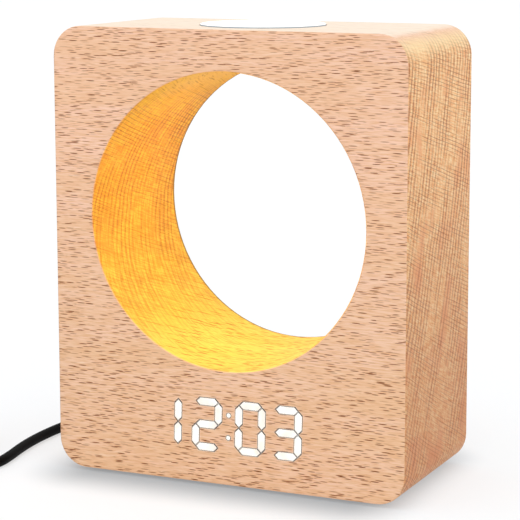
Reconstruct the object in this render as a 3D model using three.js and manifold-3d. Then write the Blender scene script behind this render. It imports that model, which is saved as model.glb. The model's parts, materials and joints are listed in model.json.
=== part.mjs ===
// A wooden digital alarm clock: a beech block with a round lamp opening above a seven-segment display.
// Millimetres, +Z up, the display faces -Y. The origin is on the ground, under the middle of the block.
import * as THREE from "three";
import { mergeVertices } from "three/addons/utils/BufferGeometryUtils.js";
import Module from "manifold-3d";

// Driving dimensions of the block
const BORE_DIAMETER = 98; // the round lamp opening
const SIDE_WALL = 14; // wood beside the opening
const TOP_WALL = 13.5; // wood above the opening
const BAY_ROOF = 7.2; // wood between the opening and the electronics bay
const BAY_HEIGHT = 22.6;
const BAY_FLOOR = 8.7; // wood under the bay
const BAY_SIDE_WALL = 19.5; // wood at each end of the bay
const BLOCK_DEPTH = 60;
const CORNER_RADIUS = 10;
const EDGE_ROUND = 0.6;
const FRONT_SKIN = 1.6; // wood left in front of the display
const INLAY_DEPTH = 0.8; // depth of the glowing figures in that skin

// Driving dimensions of the display
const DIGIT_HEIGHT = 18;
const DIGIT_WIDTH = 10.9;
const STROKE = 2.65;
const SEGMENT_GAP = 0.3; // between one segment and the next
const HOUR_PITCH = 14.8;
const COLON_PITCH = 15.7; // between the two digits beside the colon
const MINUTE_PITCH = 13;
const DISPLAY_OFFSET = 0.95; // the colon stands this far right of the middle
const COLON_SPACING = 7.6;
const COLON_DIAMETER = 1.7;
const DISPLAY_SLANT = THREE.MathUtils.degToRad(1.5);
const CELL_MARGIN = 0.7; // a light guide's plate round its digit

// Driving dimensions of the lamp, the cell, the sockets and the lead
const LAMP_DIAMETER = 42;
const LAMP_PROUD = 0.6;
const WINDOW_DIAMETER = 30;
const CELL_DIAMETER = 12.5;
const CELL_THICKNESS = 2;
const BARREL_DIAMETER = 5.5;
const BARREL_BORE = 2.5;
const CORD_DIAMETER = 3.5;
const LAMP_LEAD_DIAMETER = 2.2;
const BOARD_THICKNESS = 1.6;

// Fits
const FIT_GAP = 0.3; // clearance between pieces that seat on each other
const PIN_GAP = 0.15; // clearance of a shaft in its hole
const CUT_OVERRUN = 1; // how far a cutter runs past the face it opens

// Facets round a full turn
const BORE_FACETS = 96;
const LARGE_FACETS = 48;
const MEDIUM_FACETS = 20;
const SMALL_FACETS = 12;
const TINY_FACETS = 8;
const CORNER_ARC_DIVISIONS = 3;
const BLOCK_ARC_DIVISIONS = 5;
const CHANNEL_ARC_DIVISIONS = 14;
const WELD_DISTANCE = 1e-4;

const wasm = await Module();
wasm.setup();

// A closed three.js geometry as a solid that can be joined and cut.
function solid(geometry) {
  const bare = (geometry.index ? geometry.toNonIndexed() : geometry).clone();
  for (const name of Object.keys(bare.attributes)) {
    if (name !== "position") bare.deleteAttribute(name);
  }
  const merged = mergeVertices(bare, WELD_DISTANCE);
  return new wasm.Manifold(
    new wasm.Mesh({
      numProp: 3,
      vertProperties: merged.attributes.position.array,
      triVerts: new Uint32Array(merged.index.array),
    }),
  );
}

// A solid back as a three.js geometry.
function geometryOf(shape) {
  const { numProp, numVert, vertProperties, triVerts } = shape.getMesh();
  const position = new Float32Array(numVert * 3);
  for (let i = 0; i < numVert; i++) {
    position.set(vertProperties.subarray(i * numProp, i * numProp + 3), i * 3);
  }
  const geometry = new THREE.BufferGeometry();
  geometry.setAttribute("position", new THREE.BufferAttribute(position, 3));
  geometry.setIndex(new THREE.BufferAttribute(new Uint32Array(triVerts), 1));
  geometry.computeVertexNormals();
  return geometry;
}

function join(...shapes) {
  return shapes.reduce((all, one) => all.add(one));
}

function cut(shape, ...cutters) {
  return cutters.reduce((left, cutter) => left.subtract(cutter), shape);
}

// A box between its low and high corners.
function box([x0, y0, z0], [x1, y1, z1]) {
  const geometry = new THREE.BoxGeometry(x1 - x0, y1 - y0, z1 - z0);
  return solid(geometry.translate((x0 + x1) / 2, (y0 + y1) / 2, (z0 + z1) / 2));
}

// A box centred on x and z, from y0 to y1.
function boxY(x, z, width, height, y0, y1) {
  return box([x - width / 2, y0, z - height / 2], [x + width / 2, y1, z + height / 2]);
}

// Turned about the Y axis through x, z: the profile is [radius, y] pairs from low y to high y, which
// starts and ends on the axis.
function turnedY(profile, facets, x, z) {
  const points = profile.map(([radius, y]) => new THREE.Vector2(radius, y));
  return solid(new THREE.LatheGeometry(points, facets).translate(x, 0, z));
}

// Turned about the Z axis through x, y, with [radius, z] pairs.
function turnedZ(profile, facets, x, y) {
  const points = profile.map(([radius, z]) => new THREE.Vector2(radius, z));
  return solid(new THREE.LatheGeometry(points, facets).rotateX(Math.PI / 2).translate(x, y, 0));
}

function cylinderY(x, z, radius, y0, y1, facets) {
  return turnedY([[0, y0], [radius, y0], [radius, y1], [0, y1]], facets, x, z);
}

function cylinderZ(x, y, radius, z0, z1, facets) {
  return turnedZ([[0, z0], [radius, z0], [radius, z1], [0, z1]], facets, x, y);
}

// An outline in X and Z, made solid from y0 to y1.
function plateY(shape, y0, y1, divisions = CORNER_ARC_DIVISIONS) {
  const options = { depth: y1 - y0, bevelEnabled: false, curveSegments: divisions };
  return solid(new THREE.ExtrudeGeometry(shape, options).rotateX(Math.PI / 2).translate(0, y1, 0));
}

// A rectangle with round corners, between its low and high corners.
function roundedRectangle(x0, z0, x1, z1, radius) {
  const shape = new THREE.Shape();
  shape.absarc(x1 - radius, z0 + radius, radius, -Math.PI / 2, 0, false);
  shape.absarc(x1 - radius, z1 - radius, radius, 0, Math.PI / 2, false);
  shape.absarc(x0 + radius, z1 - radius, radius, Math.PI / 2, Math.PI, false);
  shape.absarc(x0 + radius, z0 + radius, radius, Math.PI, 1.5 * Math.PI, false);
  return shape;
}

// A tube of flat sides along a curve.
function tube(curve, diameter, sides, steps) {
  const corners = [];
  for (let i = 0; i < sides; i++) {
    const angle = (i / sides) * 2 * Math.PI;
    corners.push(new THREE.Vector2(Math.cos(angle), Math.sin(angle)).multiplyScalar(diameter / 2));
  }
  return solid(new THREE.ExtrudeGeometry(new THREE.Shape(corners), { steps, extrudePath: curve }));
}

function curveThrough(points) {
  return new THREE.CatmullRomCurve3(points.map((point) => new THREE.Vector3(...point)));
}

const FINISHES = {
  wood: { color: 0xe9bd95, roughness: 0.55, metalness: 0 },
  lampShade: { color: 0xfff4dc, roughness: 0.45, metalness: 0 },
  litFigure: { color: 0xfffaf2, roughness: 0.4, metalness: 0 },
  lightGuide: { color: 0xf2f2ee, roughness: 0.3, metalness: 0 },
  whitePlastic: { color: 0xe8e6e0, roughness: 0.5, metalness: 0 },
  darkPlastic: { color: 0x2b2725, roughness: 0.5, metalness: 0 },
  blackPlastic: { color: 0x151516, roughness: 0.4, metalness: 0 },
  circuitBoard: { color: 0x1f5a3a, roughness: 0.4, metalness: 0 },
  steel: { color: 0xb8babd, roughness: 0.3, metalness: 1 },
  copper: { color: 0xb87748, roughness: 0.35, metalness: 1 },
  rubber: { color: 0x2a2a2b, roughness: 0.8, metalness: 0 },
  cordJacket: { color: 0x1a1a1b, roughness: 0.55, metalness: 0 },
};

const clock = new THREE.Group();

function addPiece(name, shape, finish) {
  const mesh = new THREE.Mesh(geometryOf(shape), new THREE.MeshStandardMaterial(FINISHES[finish]));
  mesh.name = name;
  clock.add(mesh);
}

// Places that many pieces share
const FOOT_HEIGHT = 1; // the rubber feet lift the wood this far
const boreRadius = BORE_DIAMETER / 2;
const blockWidth = BORE_DIAMETER + 2 * SIDE_WALL;
const woodBottom = FOOT_HEIGHT;
const bayBottom = woodBottom + BAY_FLOOR;
const bayTop = bayBottom + BAY_HEIGHT;
const boreCentre = bayTop + BAY_ROOF + boreRadius;
const boreTop = boreCentre + boreRadius;
const woodTop = boreTop + TOP_WALL;
const frontFace = -BLOCK_DEPTH / 2;
const backFace = BLOCK_DEPTH / 2;
const bayHalfWidth = blockWidth / 2 - BAY_SIDE_WALL;
const axisZ = (bayBottom + bayTop) / 2; // the height of the figures, buttons, socket and cell

// Rear cover and the recess it lies in
const COVER_THICKNESS = 2;
const COVER_SINK = 1.5; // the cover lies this far inside the back face
const COVER_LEDGE = 8; // wood that it rests on beside the bay
const COVER_LIP = 3.2; // the same above and below the bay
const COVER_CORNER_RADIUS = 4;
const SCREW_RISE = 10; // screws above and below the middle
const SCREW_INSET = 4; // screws inward from the recess's ends
const coverOuter = backFace - COVER_SINK;
const coverInner = coverOuter - COVER_THICKNESS;
const recessHalfWidth = bayHalfWidth + COVER_LEDGE;
const recessBottom = bayBottom - COVER_LIP;
const recessTop = bayTop + COVER_LIP;
const screwX = recessHalfWidth - SCREW_INSET;
const screwPlaces = [
  [-screwX, axisZ - SCREW_RISE],
  [screwX, axisZ - SCREW_RISE],
  [-screwX, axisZ + SCREW_RISE],
  [screwX, axisZ + SCREW_RISE],
];
const SCREW_LENGTH = 9;
const SCREW_SHANK_RADIUS = 1;
const SCREW_HEAD_RADIUS = 2.1;
const SCREW_HEAD_HEIGHT = 1.1;

function coverOutline(gap) {
  return roundedRectangle(
    -recessHalfWidth + gap,
    recessBottom + gap,
    recessHalfWidth - gap,
    recessTop - gap,
    COVER_CORNER_RADIUS - gap,
  );
}

// Wire channel in the back: a band round the opening from the lamp, then straight down into the bay
const CHANNEL_OFFSET = 6; // from the opening's edge to the middle of the channel
const CHANNEL_WIDTH = 4;
const CHANNEL_DEPTH = 7;
const CHANNEL_COVER_WIDTH = 6.5;
const CHANNEL_START = THREE.MathUtils.degToRad(96);
const CHANNEL_END = THREE.MathUtils.degToRad(-45);
const channelRadius = boreRadius + CHANNEL_OFFSET;
const channelBottom = backFace - CHANNEL_DEPTH;
const channelSlope = new THREE.Vector2(Math.sin(CHANNEL_END), -Math.cos(CHANNEL_END));
const channelTurn = new THREE.Vector2(Math.cos(CHANNEL_END), Math.sin(CHANNEL_END))
  .multiplyScalar(channelRadius)
  .add(new THREE.Vector2(0, boreCentre));
const channelRun = (channelTurn.y - bayTop + CHANNEL_WIDTH) / -channelSlope.y;

// The band's outline, of a given width round the channel's middle line, short of its top end by a gap.
function channelOutline(width, gap) {
  const shape = new THREE.Shape();
  const start = CHANNEL_START - gap / channelRadius;
  const out = new THREE.Vector2(-channelSlope.y, channelSlope.x).multiplyScalar(width / 2);
  const end = channelTurn.clone().addScaledVector(channelSlope, channelRun);
  shape.absarc(0, boreCentre, channelRadius + width / 2, start, CHANNEL_END, true);
  shape.lineTo(end.x + out.x, end.y + out.y);
  shape.lineTo(end.x - out.x, end.y - out.y);
  shape.absarc(0, boreCentre, channelRadius - width / 2, CHANNEL_END, start, false);
  return shape;
}

// Lamp in the top wall: levels from the opening's ceiling up
const LAMP_SEAT = 2.4; // how deep the top shade sits in the wood
const POCKET_INSET = 2.3; // the shade's ledge
const WINDOW_WALL = 2; // wood that holds the lower shade
const LOWER_FLANGE = 1.2;
const HOUSING_WALL = 2;
const SHELF_RISE = 3.4; // from the lower shade to the board's shelf
const SHELF_THICKNESS = 1;
const SHELF_WIDTH = 2.7;
const LAMP_BOARD_THICKNESS = 1.2;
const lampRadius = LAMP_DIAMETER / 2;
const pocketRadius = lampRadius - POCKET_INSET;
const housingRadius = pocketRadius - FIT_GAP;
const housingBore = housingRadius - HOUSING_WALL;
const windowLedge = boreTop + WINDOW_WALL;
const flangeTop = windowLedge + LOWER_FLANGE;
const shelfBottom = flangeTop + SHELF_RISE;
const shelfTop = shelfBottom + SHELF_THICKNESS;
const lampSeat = woodTop - LAMP_SEAT;
const leadZ = boreCentre + channelRadius; // the lamp's lead enters the channel's top end
const LEAD_HOLE_DIAMETER = 5;

// Display: cells, segments and depths
const displaySkin = frontFace + FRONT_SKIN;
const GUIDE_PLATE = 0.8;
const GUIDE_REACH = 3;
const FRAME_DEPTH = 6;
const LED_LENGTH = 1.6;
const LED_WIDTH = 0.8;
const LED_HEIGHT = 0.7;
const frameFront = displaySkin + GUIDE_PLATE;
const frameBack = frameFront + FRAME_DEPTH;
const displayBoardBack = frameBack + BOARD_THICKNESS;
const digitCentres = [
  DISPLAY_OFFSET - COLON_PITCH / 2 - HOUR_PITCH,
  DISPLAY_OFFSET - COLON_PITCH / 2,
  DISPLAY_OFFSET + COLON_PITCH / 2,
  DISPLAY_OFFSET + COLON_PITCH / 2 + MINUTE_PITCH,
];
const armX = (DIGIT_WIDTH - STROKE) / 2;
const armZ = (DIGIT_HEIGHT - STROKE) / 2;
// Each segment: the middle and direction of its line inside a cell
const SEGMENTS = {
  a: { x: 0, z: armZ, level: true },
  b: { x: armX, z: armZ / 2, level: false },
  c: { x: armX, z: -armZ / 2, level: false },
  d: { x: 0, z: -armZ, level: true },
  e: { x: -armX, z: -armZ / 2, level: false },
  f: { x: -armX, z: armZ / 2, level: false },
  g: { x: 0, z: 0, level: true },
};
const ALL_SEGMENTS = Object.keys(SEGMENTS);
const SHOWN_FIGURES = [
  ["b", "c"],
  ["a", "b", "g", "e", "d"],
  ["a", "b", "c", "d", "e", "f"],
  ["a", "b", "g", "c", "d"],
];

// A point of a leaning figure, from its place in an upright one.
function leaning(x, z) {
  return [x + z * Math.tan(DISPLAY_SLANT), axisZ + z];
}

// A segment's six-sided outline, grown by a margin all round and by a reach at its two tips.
function segmentOutline(centre, name, margin, reach) {
  const { x, z, level } = SEGMENTS[name];
  const half = STROKE / 2 + margin;
  const line = level ? armX : armZ / 2;
  const tip = line + (margin - SEGMENT_GAP / 2) * Math.SQRT2 + reach;
  const corners = [
    [tip, 0],
    [tip - half, half],
    [half - tip, half],
    [-tip, 0],
    [half - tip, -half],
    [tip - half, -half],
  ];
  const shape = new THREE.Shape();
  const points = corners.map(([along, across]) =>
    level ? leaning(x + along, z + across) : leaning(x - across, z + along),
  );
  shape.setFromPoints(points.map(([u, v]) => new THREE.Vector2(centre + u, v)));
  return shape;
}

function segmentPlates(centre, names, margin, reach, y0, y1) {
  return join(...names.map((name) => plateY(segmentOutline(centre, name, margin, reach), y0, y1)));
}

const colonPlaces = [COLON_SPACING / 2, -COLON_SPACING / 2].map((z) => {
  const [x, height] = leaning(DISPLAY_OFFSET, z);
  return [x, height];
});

// Main board: it slides in grooves in the ends of the bay
const BOARD_RISE = 1.8;
const BOARD_GROOVE = 1.5;
const boardBottom = bayBottom + BOARD_RISE;
const boardTop = boardBottom + BOARD_THICKNESS;
const boardFront = displayBoardBack + FIT_GAP;
const DOOR_LUG_THICKNESS = 1;
const doorLugOuter = coverInner - FIT_GAP;
const doorLugInner = doorLugOuter - DOOR_LUG_THICKNESS;
const boardBack = doorLugInner - FIT_GAP; // the door's lugs turn behind the board's edge

// Wooden block
function woodBlank() {
  const half = blockWidth / 2;
  const outline = roundedRectangle(-half, woodBottom, half, woodTop, CORNER_RADIUS);
  const options = {
    depth: BLOCK_DEPTH - 2 * EDGE_ROUND,
    bevelSize: EDGE_ROUND,
    bevelThickness: EDGE_ROUND,
    bevelOffset: -EDGE_ROUND,
    bevelSegments: 2,
    curveSegments: BLOCK_ARC_DIVISIONS,
  };
  const block = new THREE.ExtrudeGeometry(outline, options);
  return solid(block.rotateX(Math.PI / 2).translate(0, backFace - EDGE_ROUND, 0));
}

function boreCutter() {
  const flared = boreRadius + EDGE_ROUND;
  const profile = [
    [0, frontFace - CUT_OVERRUN],
    [flared, frontFace - CUT_OVERRUN],
    [flared, frontFace],
    [boreRadius, frontFace + EDGE_ROUND],
    [boreRadius, backFace - EDGE_ROUND],
    [flared, backFace],
    [flared, backFace + CUT_OVERRUN],
    [0, backFace + CUT_OVERRUN],
  ];
  return turnedY(profile, BORE_FACETS, 0, boreCentre);
}

function lampPocketCutter() {
  const profile = [
    [0, boreTop - SIDE_WALL],
    [WINDOW_DIAMETER / 2, boreTop - SIDE_WALL],
    [WINDOW_DIAMETER / 2, windowLedge],
    [pocketRadius, windowLedge],
    [pocketRadius, lampSeat],
    [lampRadius + FIT_GAP, lampSeat],
    [lampRadius + FIT_GAP, woodTop + CUT_OVERRUN],
    [0, woodTop + CUT_OVERRUN],
  ];
  return turnedZ(profile, LARGE_FACETS, 0, 0);
}

function bayCutter() {
  const open = backFace + CUT_OVERRUN;
  const bay = box([-bayHalfWidth, displaySkin, bayBottom], [bayHalfWidth, open, bayTop]);
  const reach = bayHalfWidth + BOARD_GROOVE;
  const grooves = box([-reach, displayBoardBack, boardBottom], [reach, open, boardTop + FIT_GAP]);
  const recess = plateY(coverOutline(0), coverInner, open);
  return join(bay, grooves, recess);
}

function channelCutter() {
  const open = backFace + CUT_OVERRUN;
  const deep = plateY(channelOutline(CHANNEL_WIDTH, 0), channelBottom, open, CHANNEL_ARC_DIVISIONS);
  const seat = plateY(channelOutline(CHANNEL_COVER_WIDTH, 0), coverInner, open, CHANNEL_ARC_DIVISIONS);
  const holeEnd = channelBottom + CUT_OVERRUN;
  const hole = cylinderY(0, leadZ, LEAD_HOLE_DIAMETER / 2, housingBore, holeEnd, SMALL_FACETS);
  return join(deep, seat, hole);
}

function figureCutter() {
  const y0 = frontFace - CUT_OVERRUN;
  const y1 = frontFace + INLAY_DEPTH;
  const digits = digitCentres.map((centre, i) =>
    segmentPlates(centre, SHOWN_FIGURES[i], PIN_GAP, SEGMENT_GAP, y0, y1),
  );
  const dots = colonPlaces.map(([x, z]) =>
    cylinderY(x, z, COLON_DIAMETER / 2 + PIN_GAP, y0, y1, SMALL_FACETS),
  );
  return join(...digits, ...dots);
}

function pilotHoles() {
  const bottom = coverInner - SCREW_LENGTH;
  const radius = SCREW_SHANK_RADIUS + PIN_GAP;
  return join(
    ...screwPlaces.map(([x, z]) => cylinderY(x, z, radius, bottom, backFace, TINY_FACETS)),
  );
}

const openings = [boreCutter(), lampPocketCutter(), bayCutter(), channelCutter()];
addPiece("wood_body", cut(woodBlank(), ...openings, figureCutter(), pilotHoles()), "wood");

// Slip of wood that closes the wire channel
const slipOutline = channelOutline(CHANNEL_COVER_WIDTH - 2 * FIT_GAP, FIT_GAP);
const channelSlip = plateY(slipOutline, coverInner, backFace, CHANNEL_ARC_DIVISIONS);
const slipEnd = plateY(coverOutline(-FIT_GAP), coverInner - CUT_OVERRUN, backFace + CUT_OVERRUN);
addPiece("wire_channel_cover", cut(channelSlip, slipEnd), "wood");

// Lamp
const SHADE_ROUND = 0.5;
function topShade() {
  const top = woodTop + LAMP_PROUD;
  const profile = [
    [0, lampSeat],
    [lampRadius, lampSeat],
    [lampRadius, top - SHADE_ROUND],
    [lampRadius - SHADE_ROUND * (1 - Math.SQRT1_2), top - SHADE_ROUND * (1 - Math.SQRT1_2)],
    [lampRadius - SHADE_ROUND, top],
    [0, top],
  ];
  return turnedZ(profile, LARGE_FACETS, 0, 0);
}
addPiece("top_diffuser", topShade(), "lampShade");

const windowRadius = WINDOW_DIAMETER / 2 - FIT_GAP;
const flangeRadius = housingRadius - PIN_GAP;
const lowerShadeProfile = [
  [0, boreTop + FIT_GAP],
  [windowRadius, boreTop + FIT_GAP],
  [windowRadius, windowLedge],
  [flangeRadius, windowLedge],
  [flangeRadius, flangeTop],
  [0, flangeTop],
];
addPiece("lower_diffuser", turnedZ(lowerShadeProfile, LARGE_FACETS, 0, 0), "lampShade");

const NOTCH_WIDTH = 5;
function lampHousing() {
  const shelfRadius = housingBore - SHELF_WIDTH;
  const wall = cylinderZ(0, 0, housingRadius, flangeTop, lampSeat, LARGE_FACETS);
  const below = cylinderZ(0, 0, housingBore, flangeTop - CUT_OVERRUN, shelfBottom, LARGE_FACETS);
  const above = cylinderZ(0, 0, housingBore, shelfTop, lampSeat + CUT_OVERRUN, LARGE_FACETS);
  const through = cylinderZ(0, 0, shelfRadius, flangeTop, lampSeat, LARGE_FACETS);
  const notch = box(
    [-NOTCH_WIDTH / 2, shelfRadius - SHELF_WIDTH, flangeTop - CUT_OVERRUN],
    [NOTCH_WIDTH / 2, lampRadius, shelfBottom - FIT_GAP],
  );
  return cut(wall, below, above, through, notch);
}
addPiece("lamp_housing", lampHousing(), "whitePlastic");

const LAMP_LED_SIZE = 2.8;
const LAMP_LED_HEIGHT = 0.7;
const UPPER_LEDS = 6;
const UPPER_LED_RING = 9;
const LOWER_LEDS = 4;
const LOWER_LED_RING = 7;
const LEAD_PLUG_WIDTH = 6;
const LEAD_PLUG_DEPTH = 3;
const LEAD_PLUG_Y = 9;
const LEAD_PLUG_DROP = 4; // how far it hangs under the board
const lampBoardTop = shelfTop + LAMP_BOARD_THICKNESS;

// LEDs in a ring on a face of the lamp's board.
function ledRing(count, ring, z0, z1) {
  const leds = [];
  for (let i = 0; i < count; i++) {
    const angle = ((i + 0.5) / count) * 2 * Math.PI;
    const x = ring * Math.cos(angle);
    const y = ring * Math.sin(angle);
    const half = LAMP_LED_SIZE / 2;
    leds.push(box([x - half, y - half, z0], [x + half, y + half, z1]));
  }
  return join(...leds);
}

function lampBoard() {
  const disc = cylinderZ(0, 0, housingBore - FIT_GAP, shelfTop, lampBoardTop, LARGE_FACETS);
  const root = (shelfTop + lampBoardTop) / 2; // soldered parts reach into the board
  const up = ledRing(UPPER_LEDS, UPPER_LED_RING, root, lampBoardTop + LAMP_LED_HEIGHT);
  const down = ledRing(LOWER_LEDS, LOWER_LED_RING, shelfTop - LAMP_LED_HEIGHT, root);
  const plug = box(
    [-LEAD_PLUG_WIDTH / 2, LEAD_PLUG_Y, shelfTop - LEAD_PLUG_DROP],
    [LEAD_PLUG_WIDTH / 2, LEAD_PLUG_Y + LEAD_PLUG_DEPTH, root],
  );
  return join(disc, up, down, plug);
}
addPiece("lamp_led_board", lampBoard(), "circuitBoard");

const TOUCH_PLATE_DIAMETER = 24;
const TOUCH_PLATE_THICKNESS = 0.4;
const TOUCH_PIN_RADIUS = 0.8;
const TOUCH_SLEEVE_RADIUS = 1.4;
const TOUCH_SLEEVE_HEIGHT = 1;
const touchPlateBottom = lampSeat - TOUCH_PLATE_THICKNESS;
addPiece(
  "touch_plate",
  cylinderZ(0, 0, TOUCH_PLATE_DIAMETER / 2, touchPlateBottom, lampSeat, MEDIUM_FACETS),
  "copper",
);
const touchPinProfile = [
  [0, lampBoardTop],
  [TOUCH_SLEEVE_RADIUS, lampBoardTop],
  [TOUCH_SLEEVE_RADIUS, lampBoardTop + TOUCH_SLEEVE_HEIGHT],
  [TOUCH_PIN_RADIUS, lampBoardTop + TOUCH_SLEEVE_HEIGHT],
  [TOUCH_PIN_RADIUS, touchPlateBottom],
  [0, touchPlateBottom],
];
addPiece("touch_contact", turnedZ(touchPinProfile, SMALL_FACETS, 0, 0), "copper");

// Display
SHOWN_FIGURES.forEach((names, i) => {
  const lowered = frontFace + INLAY_DEPTH / 2;
  const bottom = frontFace + INLAY_DEPTH;
  const face = segmentPlates(digitCentres[i], names, 0, 0, frontFace, bottom);
  const bridge = segmentPlates(digitCentres[i], names, 0, SEGMENT_GAP, lowered, bottom);
  addPiece(`lit_digit_${i + 1}`, join(face, bridge), "litFigure");
});
const colonNames = ["lit_colon_upper", "lit_colon_lower"];
colonPlaces.forEach(([x, z], i) => {
  const dot = cylinderY(x, z, COLON_DIAMETER / 2, frontFace, frontFace + INLAY_DEPTH, SMALL_FACETS);
  addPiece(colonNames[i], dot, "litFigure");
});

const cellWidth = DIGIT_WIDTH + 2 * CELL_MARGIN;
const cellHeight = DIGIT_HEIGHT + 2 * CELL_MARGIN;
const guideBack = frameFront + GUIDE_REACH;
digitCentres.forEach((centre, i) => {
  const plate = boxY(centre, axisZ, cellWidth, cellHeight, displaySkin, frameFront);
  const bars = segmentPlates(centre, ALL_SEGMENTS, 0, 0, displaySkin, guideBack);
  addPiece(`digit_guide_${i + 1}`, join(plate, bars), "lightGuide");
});
const colonWidth = COLON_PITCH - cellWidth - 2 * FIT_GAP;
const colonPlate = boxY(DISPLAY_OFFSET, axisZ, colonWidth, COLON_SPACING * 2, displaySkin, frameFront);
const colonBars = colonPlaces.map(([x, z]) =>
  cylinderY(x, z, COLON_DIAMETER / 2, displaySkin, guideBack, SMALL_FACETS),
);
addPiece("colon_guide", join(colonPlate, ...colonBars), "lightGuide");

const frameHalfWidth = bayHalfWidth - FIT_GAP;
const frameBottom = bayBottom + FIT_GAP;
const frameTop = bayTop - FIT_GAP;
function displayFrame() {
  const y0 = frameFront - CUT_OVERRUN;
  const y1 = frameBack + CUT_OVERRUN;
  const block = box([-frameHalfWidth, frameFront, frameBottom], [frameHalfWidth, frameBack, frameTop]);
  const windows = digitCentres.flatMap((centre) =>
    ALL_SEGMENTS.map((name) => plateY(segmentOutline(centre, name, PIN_GAP / 2, 0), y0, y1)),
  );
  const dots = colonPlaces.map(([x, z]) =>
    cylinderY(x, z, COLON_DIAMETER / 2 + PIN_GAP, y0, y1, SMALL_FACETS),
  );
  return cut(block, ...windows, ...dots);
}
addPiece("display_frame", displayFrame(), "whitePlastic");

const ledRoot = (frameBack + displayBoardBack) / 2;
function displayLed(x, z, level) {
  const width = level ? LED_LENGTH : LED_WIDTH;
  const height = level ? LED_WIDTH : LED_LENGTH;
  return boxY(x, z, width, height, frameBack - LED_HEIGHT, ledRoot);
}

function displayBoard() {
  const board = box([-frameHalfWidth, frameBack, frameBottom], [frameHalfWidth, displayBoardBack, frameTop]);
  const leds = digitCentres.flatMap((centre) =>
    Object.values(SEGMENTS).map(({ x, z, level }) => {
      const [u, v] = leaning(x, z);
      return displayLed(centre + u, v, level);
    }),
  );
  const dots = colonPlaces.map(([x, z]) => boxY(x, z, LED_WIDTH, LED_WIDTH, frameBack - LED_HEIGHT, ledRoot));
  return join(board, ...leds, ...dots);
}
addPiece("display_board", displayBoard(), "circuitBoard");

// Places along the back, from the socket to the sound holes
const SOCKET_X = -33;
const CELL_X = -14;
const BUTTON_X = 3;
const BUTTON_PITCH = 9;
const BUTTON_COUNT = 4;
const SOUND_X = 39;
const buttonPlaces = Array.from({ length: BUTTON_COUNT }, (_, i) => BUTTON_X + i * BUTTON_PITCH);

// Main board with the parts that are soldered flat on it
const HEADER_WIDTH = 24;
const HEADER_DEPTH = 2.5;
const CHIP_WIDTH = 10;
const CHIP_DEPTH = 7;
const CHIP_HEIGHT = 1.6;
const CHIP_X = -8;
const CHIP_Y = -6;
const CAPACITOR_RADIUS = 2.5;
const CAPACITOR_HEIGHT = 8;
const CAPACITOR_X = -24;
const CAPACITOR_Y = 0;
const LEAD_SOCKET_X = 17;
const LEAD_SOCKET_Y = 12;
const LEAD_SOCKET_HEIGHT = 4.5;
function mainBoard() {
  const half = bayHalfWidth + BOARD_GROOVE - FIT_GAP;
  const board = box([-half, boardFront, boardBottom], [half, boardBack, boardTop]);
  const root = (boardBottom + boardTop) / 2; // soldered parts reach down into the board
  const header = box(
    [-HEADER_WIDTH / 2, boardFront, root],
    [HEADER_WIDTH / 2, boardFront + HEADER_DEPTH, boardTop + HEADER_DEPTH],
  );
  const chip = box(
    [CHIP_X - CHIP_WIDTH / 2, CHIP_Y - CHIP_DEPTH / 2, root],
    [CHIP_X + CHIP_WIDTH / 2, CHIP_Y + CHIP_DEPTH / 2, boardTop + CHIP_HEIGHT],
  );
  const capacitor = cylinderZ(
    CAPACITOR_X,
    CAPACITOR_Y,
    CAPACITOR_RADIUS,
    root,
    boardTop + CAPACITOR_HEIGHT,
    SMALL_FACETS,
  );
  const leadSocket = box(
    [LEAD_SOCKET_X - LEAD_PLUG_WIDTH / 2, LEAD_SOCKET_Y - LEAD_PLUG_DEPTH / 2, root],
    [LEAD_SOCKET_X + LEAD_PLUG_WIDTH / 2, LEAD_SOCKET_Y + LEAD_PLUG_DEPTH / 2, boardTop + LEAD_SOCKET_HEIGHT],
  );
  return join(board, header, chip, capacitor, leadSocket);
}
addPiece("main_board", mainBoard(), "circuitBoard");

const BUZZER_RADIUS = 6;
const BUZZER_HEIGHT = 7;
const BUZZER_HOLE_RADIUS = 1;
const BUZZER_Y = 8;
const BUZZER_HOLE_DEPTH = 2;
const buzzerX = SOUND_X - BUZZER_HOLE_RADIUS * 4;
function buzzer() {
  const top = boardTop + BUZZER_HEIGHT;
  const can = cylinderZ(buzzerX, BUZZER_Y, BUZZER_RADIUS, boardTop, top, MEDIUM_FACETS);
  const floor = top - BUZZER_HOLE_DEPTH;
  const hole = cylinderZ(buzzerX, BUZZER_Y, BUZZER_HOLE_RADIUS, floor, top + CUT_OVERRUN, SMALL_FACETS);
  return cut(can, hole);
}
addPiece("buzzer", buzzer(), "blackPlastic");

// Power socket and the plug in it
const SOCKET_WIDTH = 9;
const SOCKET_LENGTH = 14;
const SOCKET_CAP = 4.6; // from its axis to its top
const SOCKET_BORE_DEPTH = 10;
const SOCKET_PIN_RADIUS = 0.95;
const socketBack = coverInner - FIT_GAP;
const barrelRadius = BARREL_DIAMETER / 2;
const socketBore = barrelRadius + PIN_GAP;
const socketFloor = socketBack - SOCKET_BORE_DEPTH;
function dcSocket() {
  const body = box(
    [SOCKET_X - SOCKET_WIDTH / 2, socketBack - SOCKET_LENGTH, boardTop],
    [SOCKET_X + SOCKET_WIDTH / 2, socketBack, axisZ + SOCKET_CAP],
  );
  const bore = cylinderY(SOCKET_X, axisZ, socketBore, socketFloor, socketBack + CUT_OVERRUN, MEDIUM_FACETS);
  const pin = cylinderY(
    SOCKET_X,
    axisZ,
    SOCKET_PIN_RADIUS,
    socketFloor - CUT_OVERRUN,
    socketBack - CUT_OVERRUN,
    SMALL_FACETS,
  );
  return join(cut(body, bore), pin);
}
addPiece("dc_socket", dcSocket(), "blackPlastic");

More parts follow.
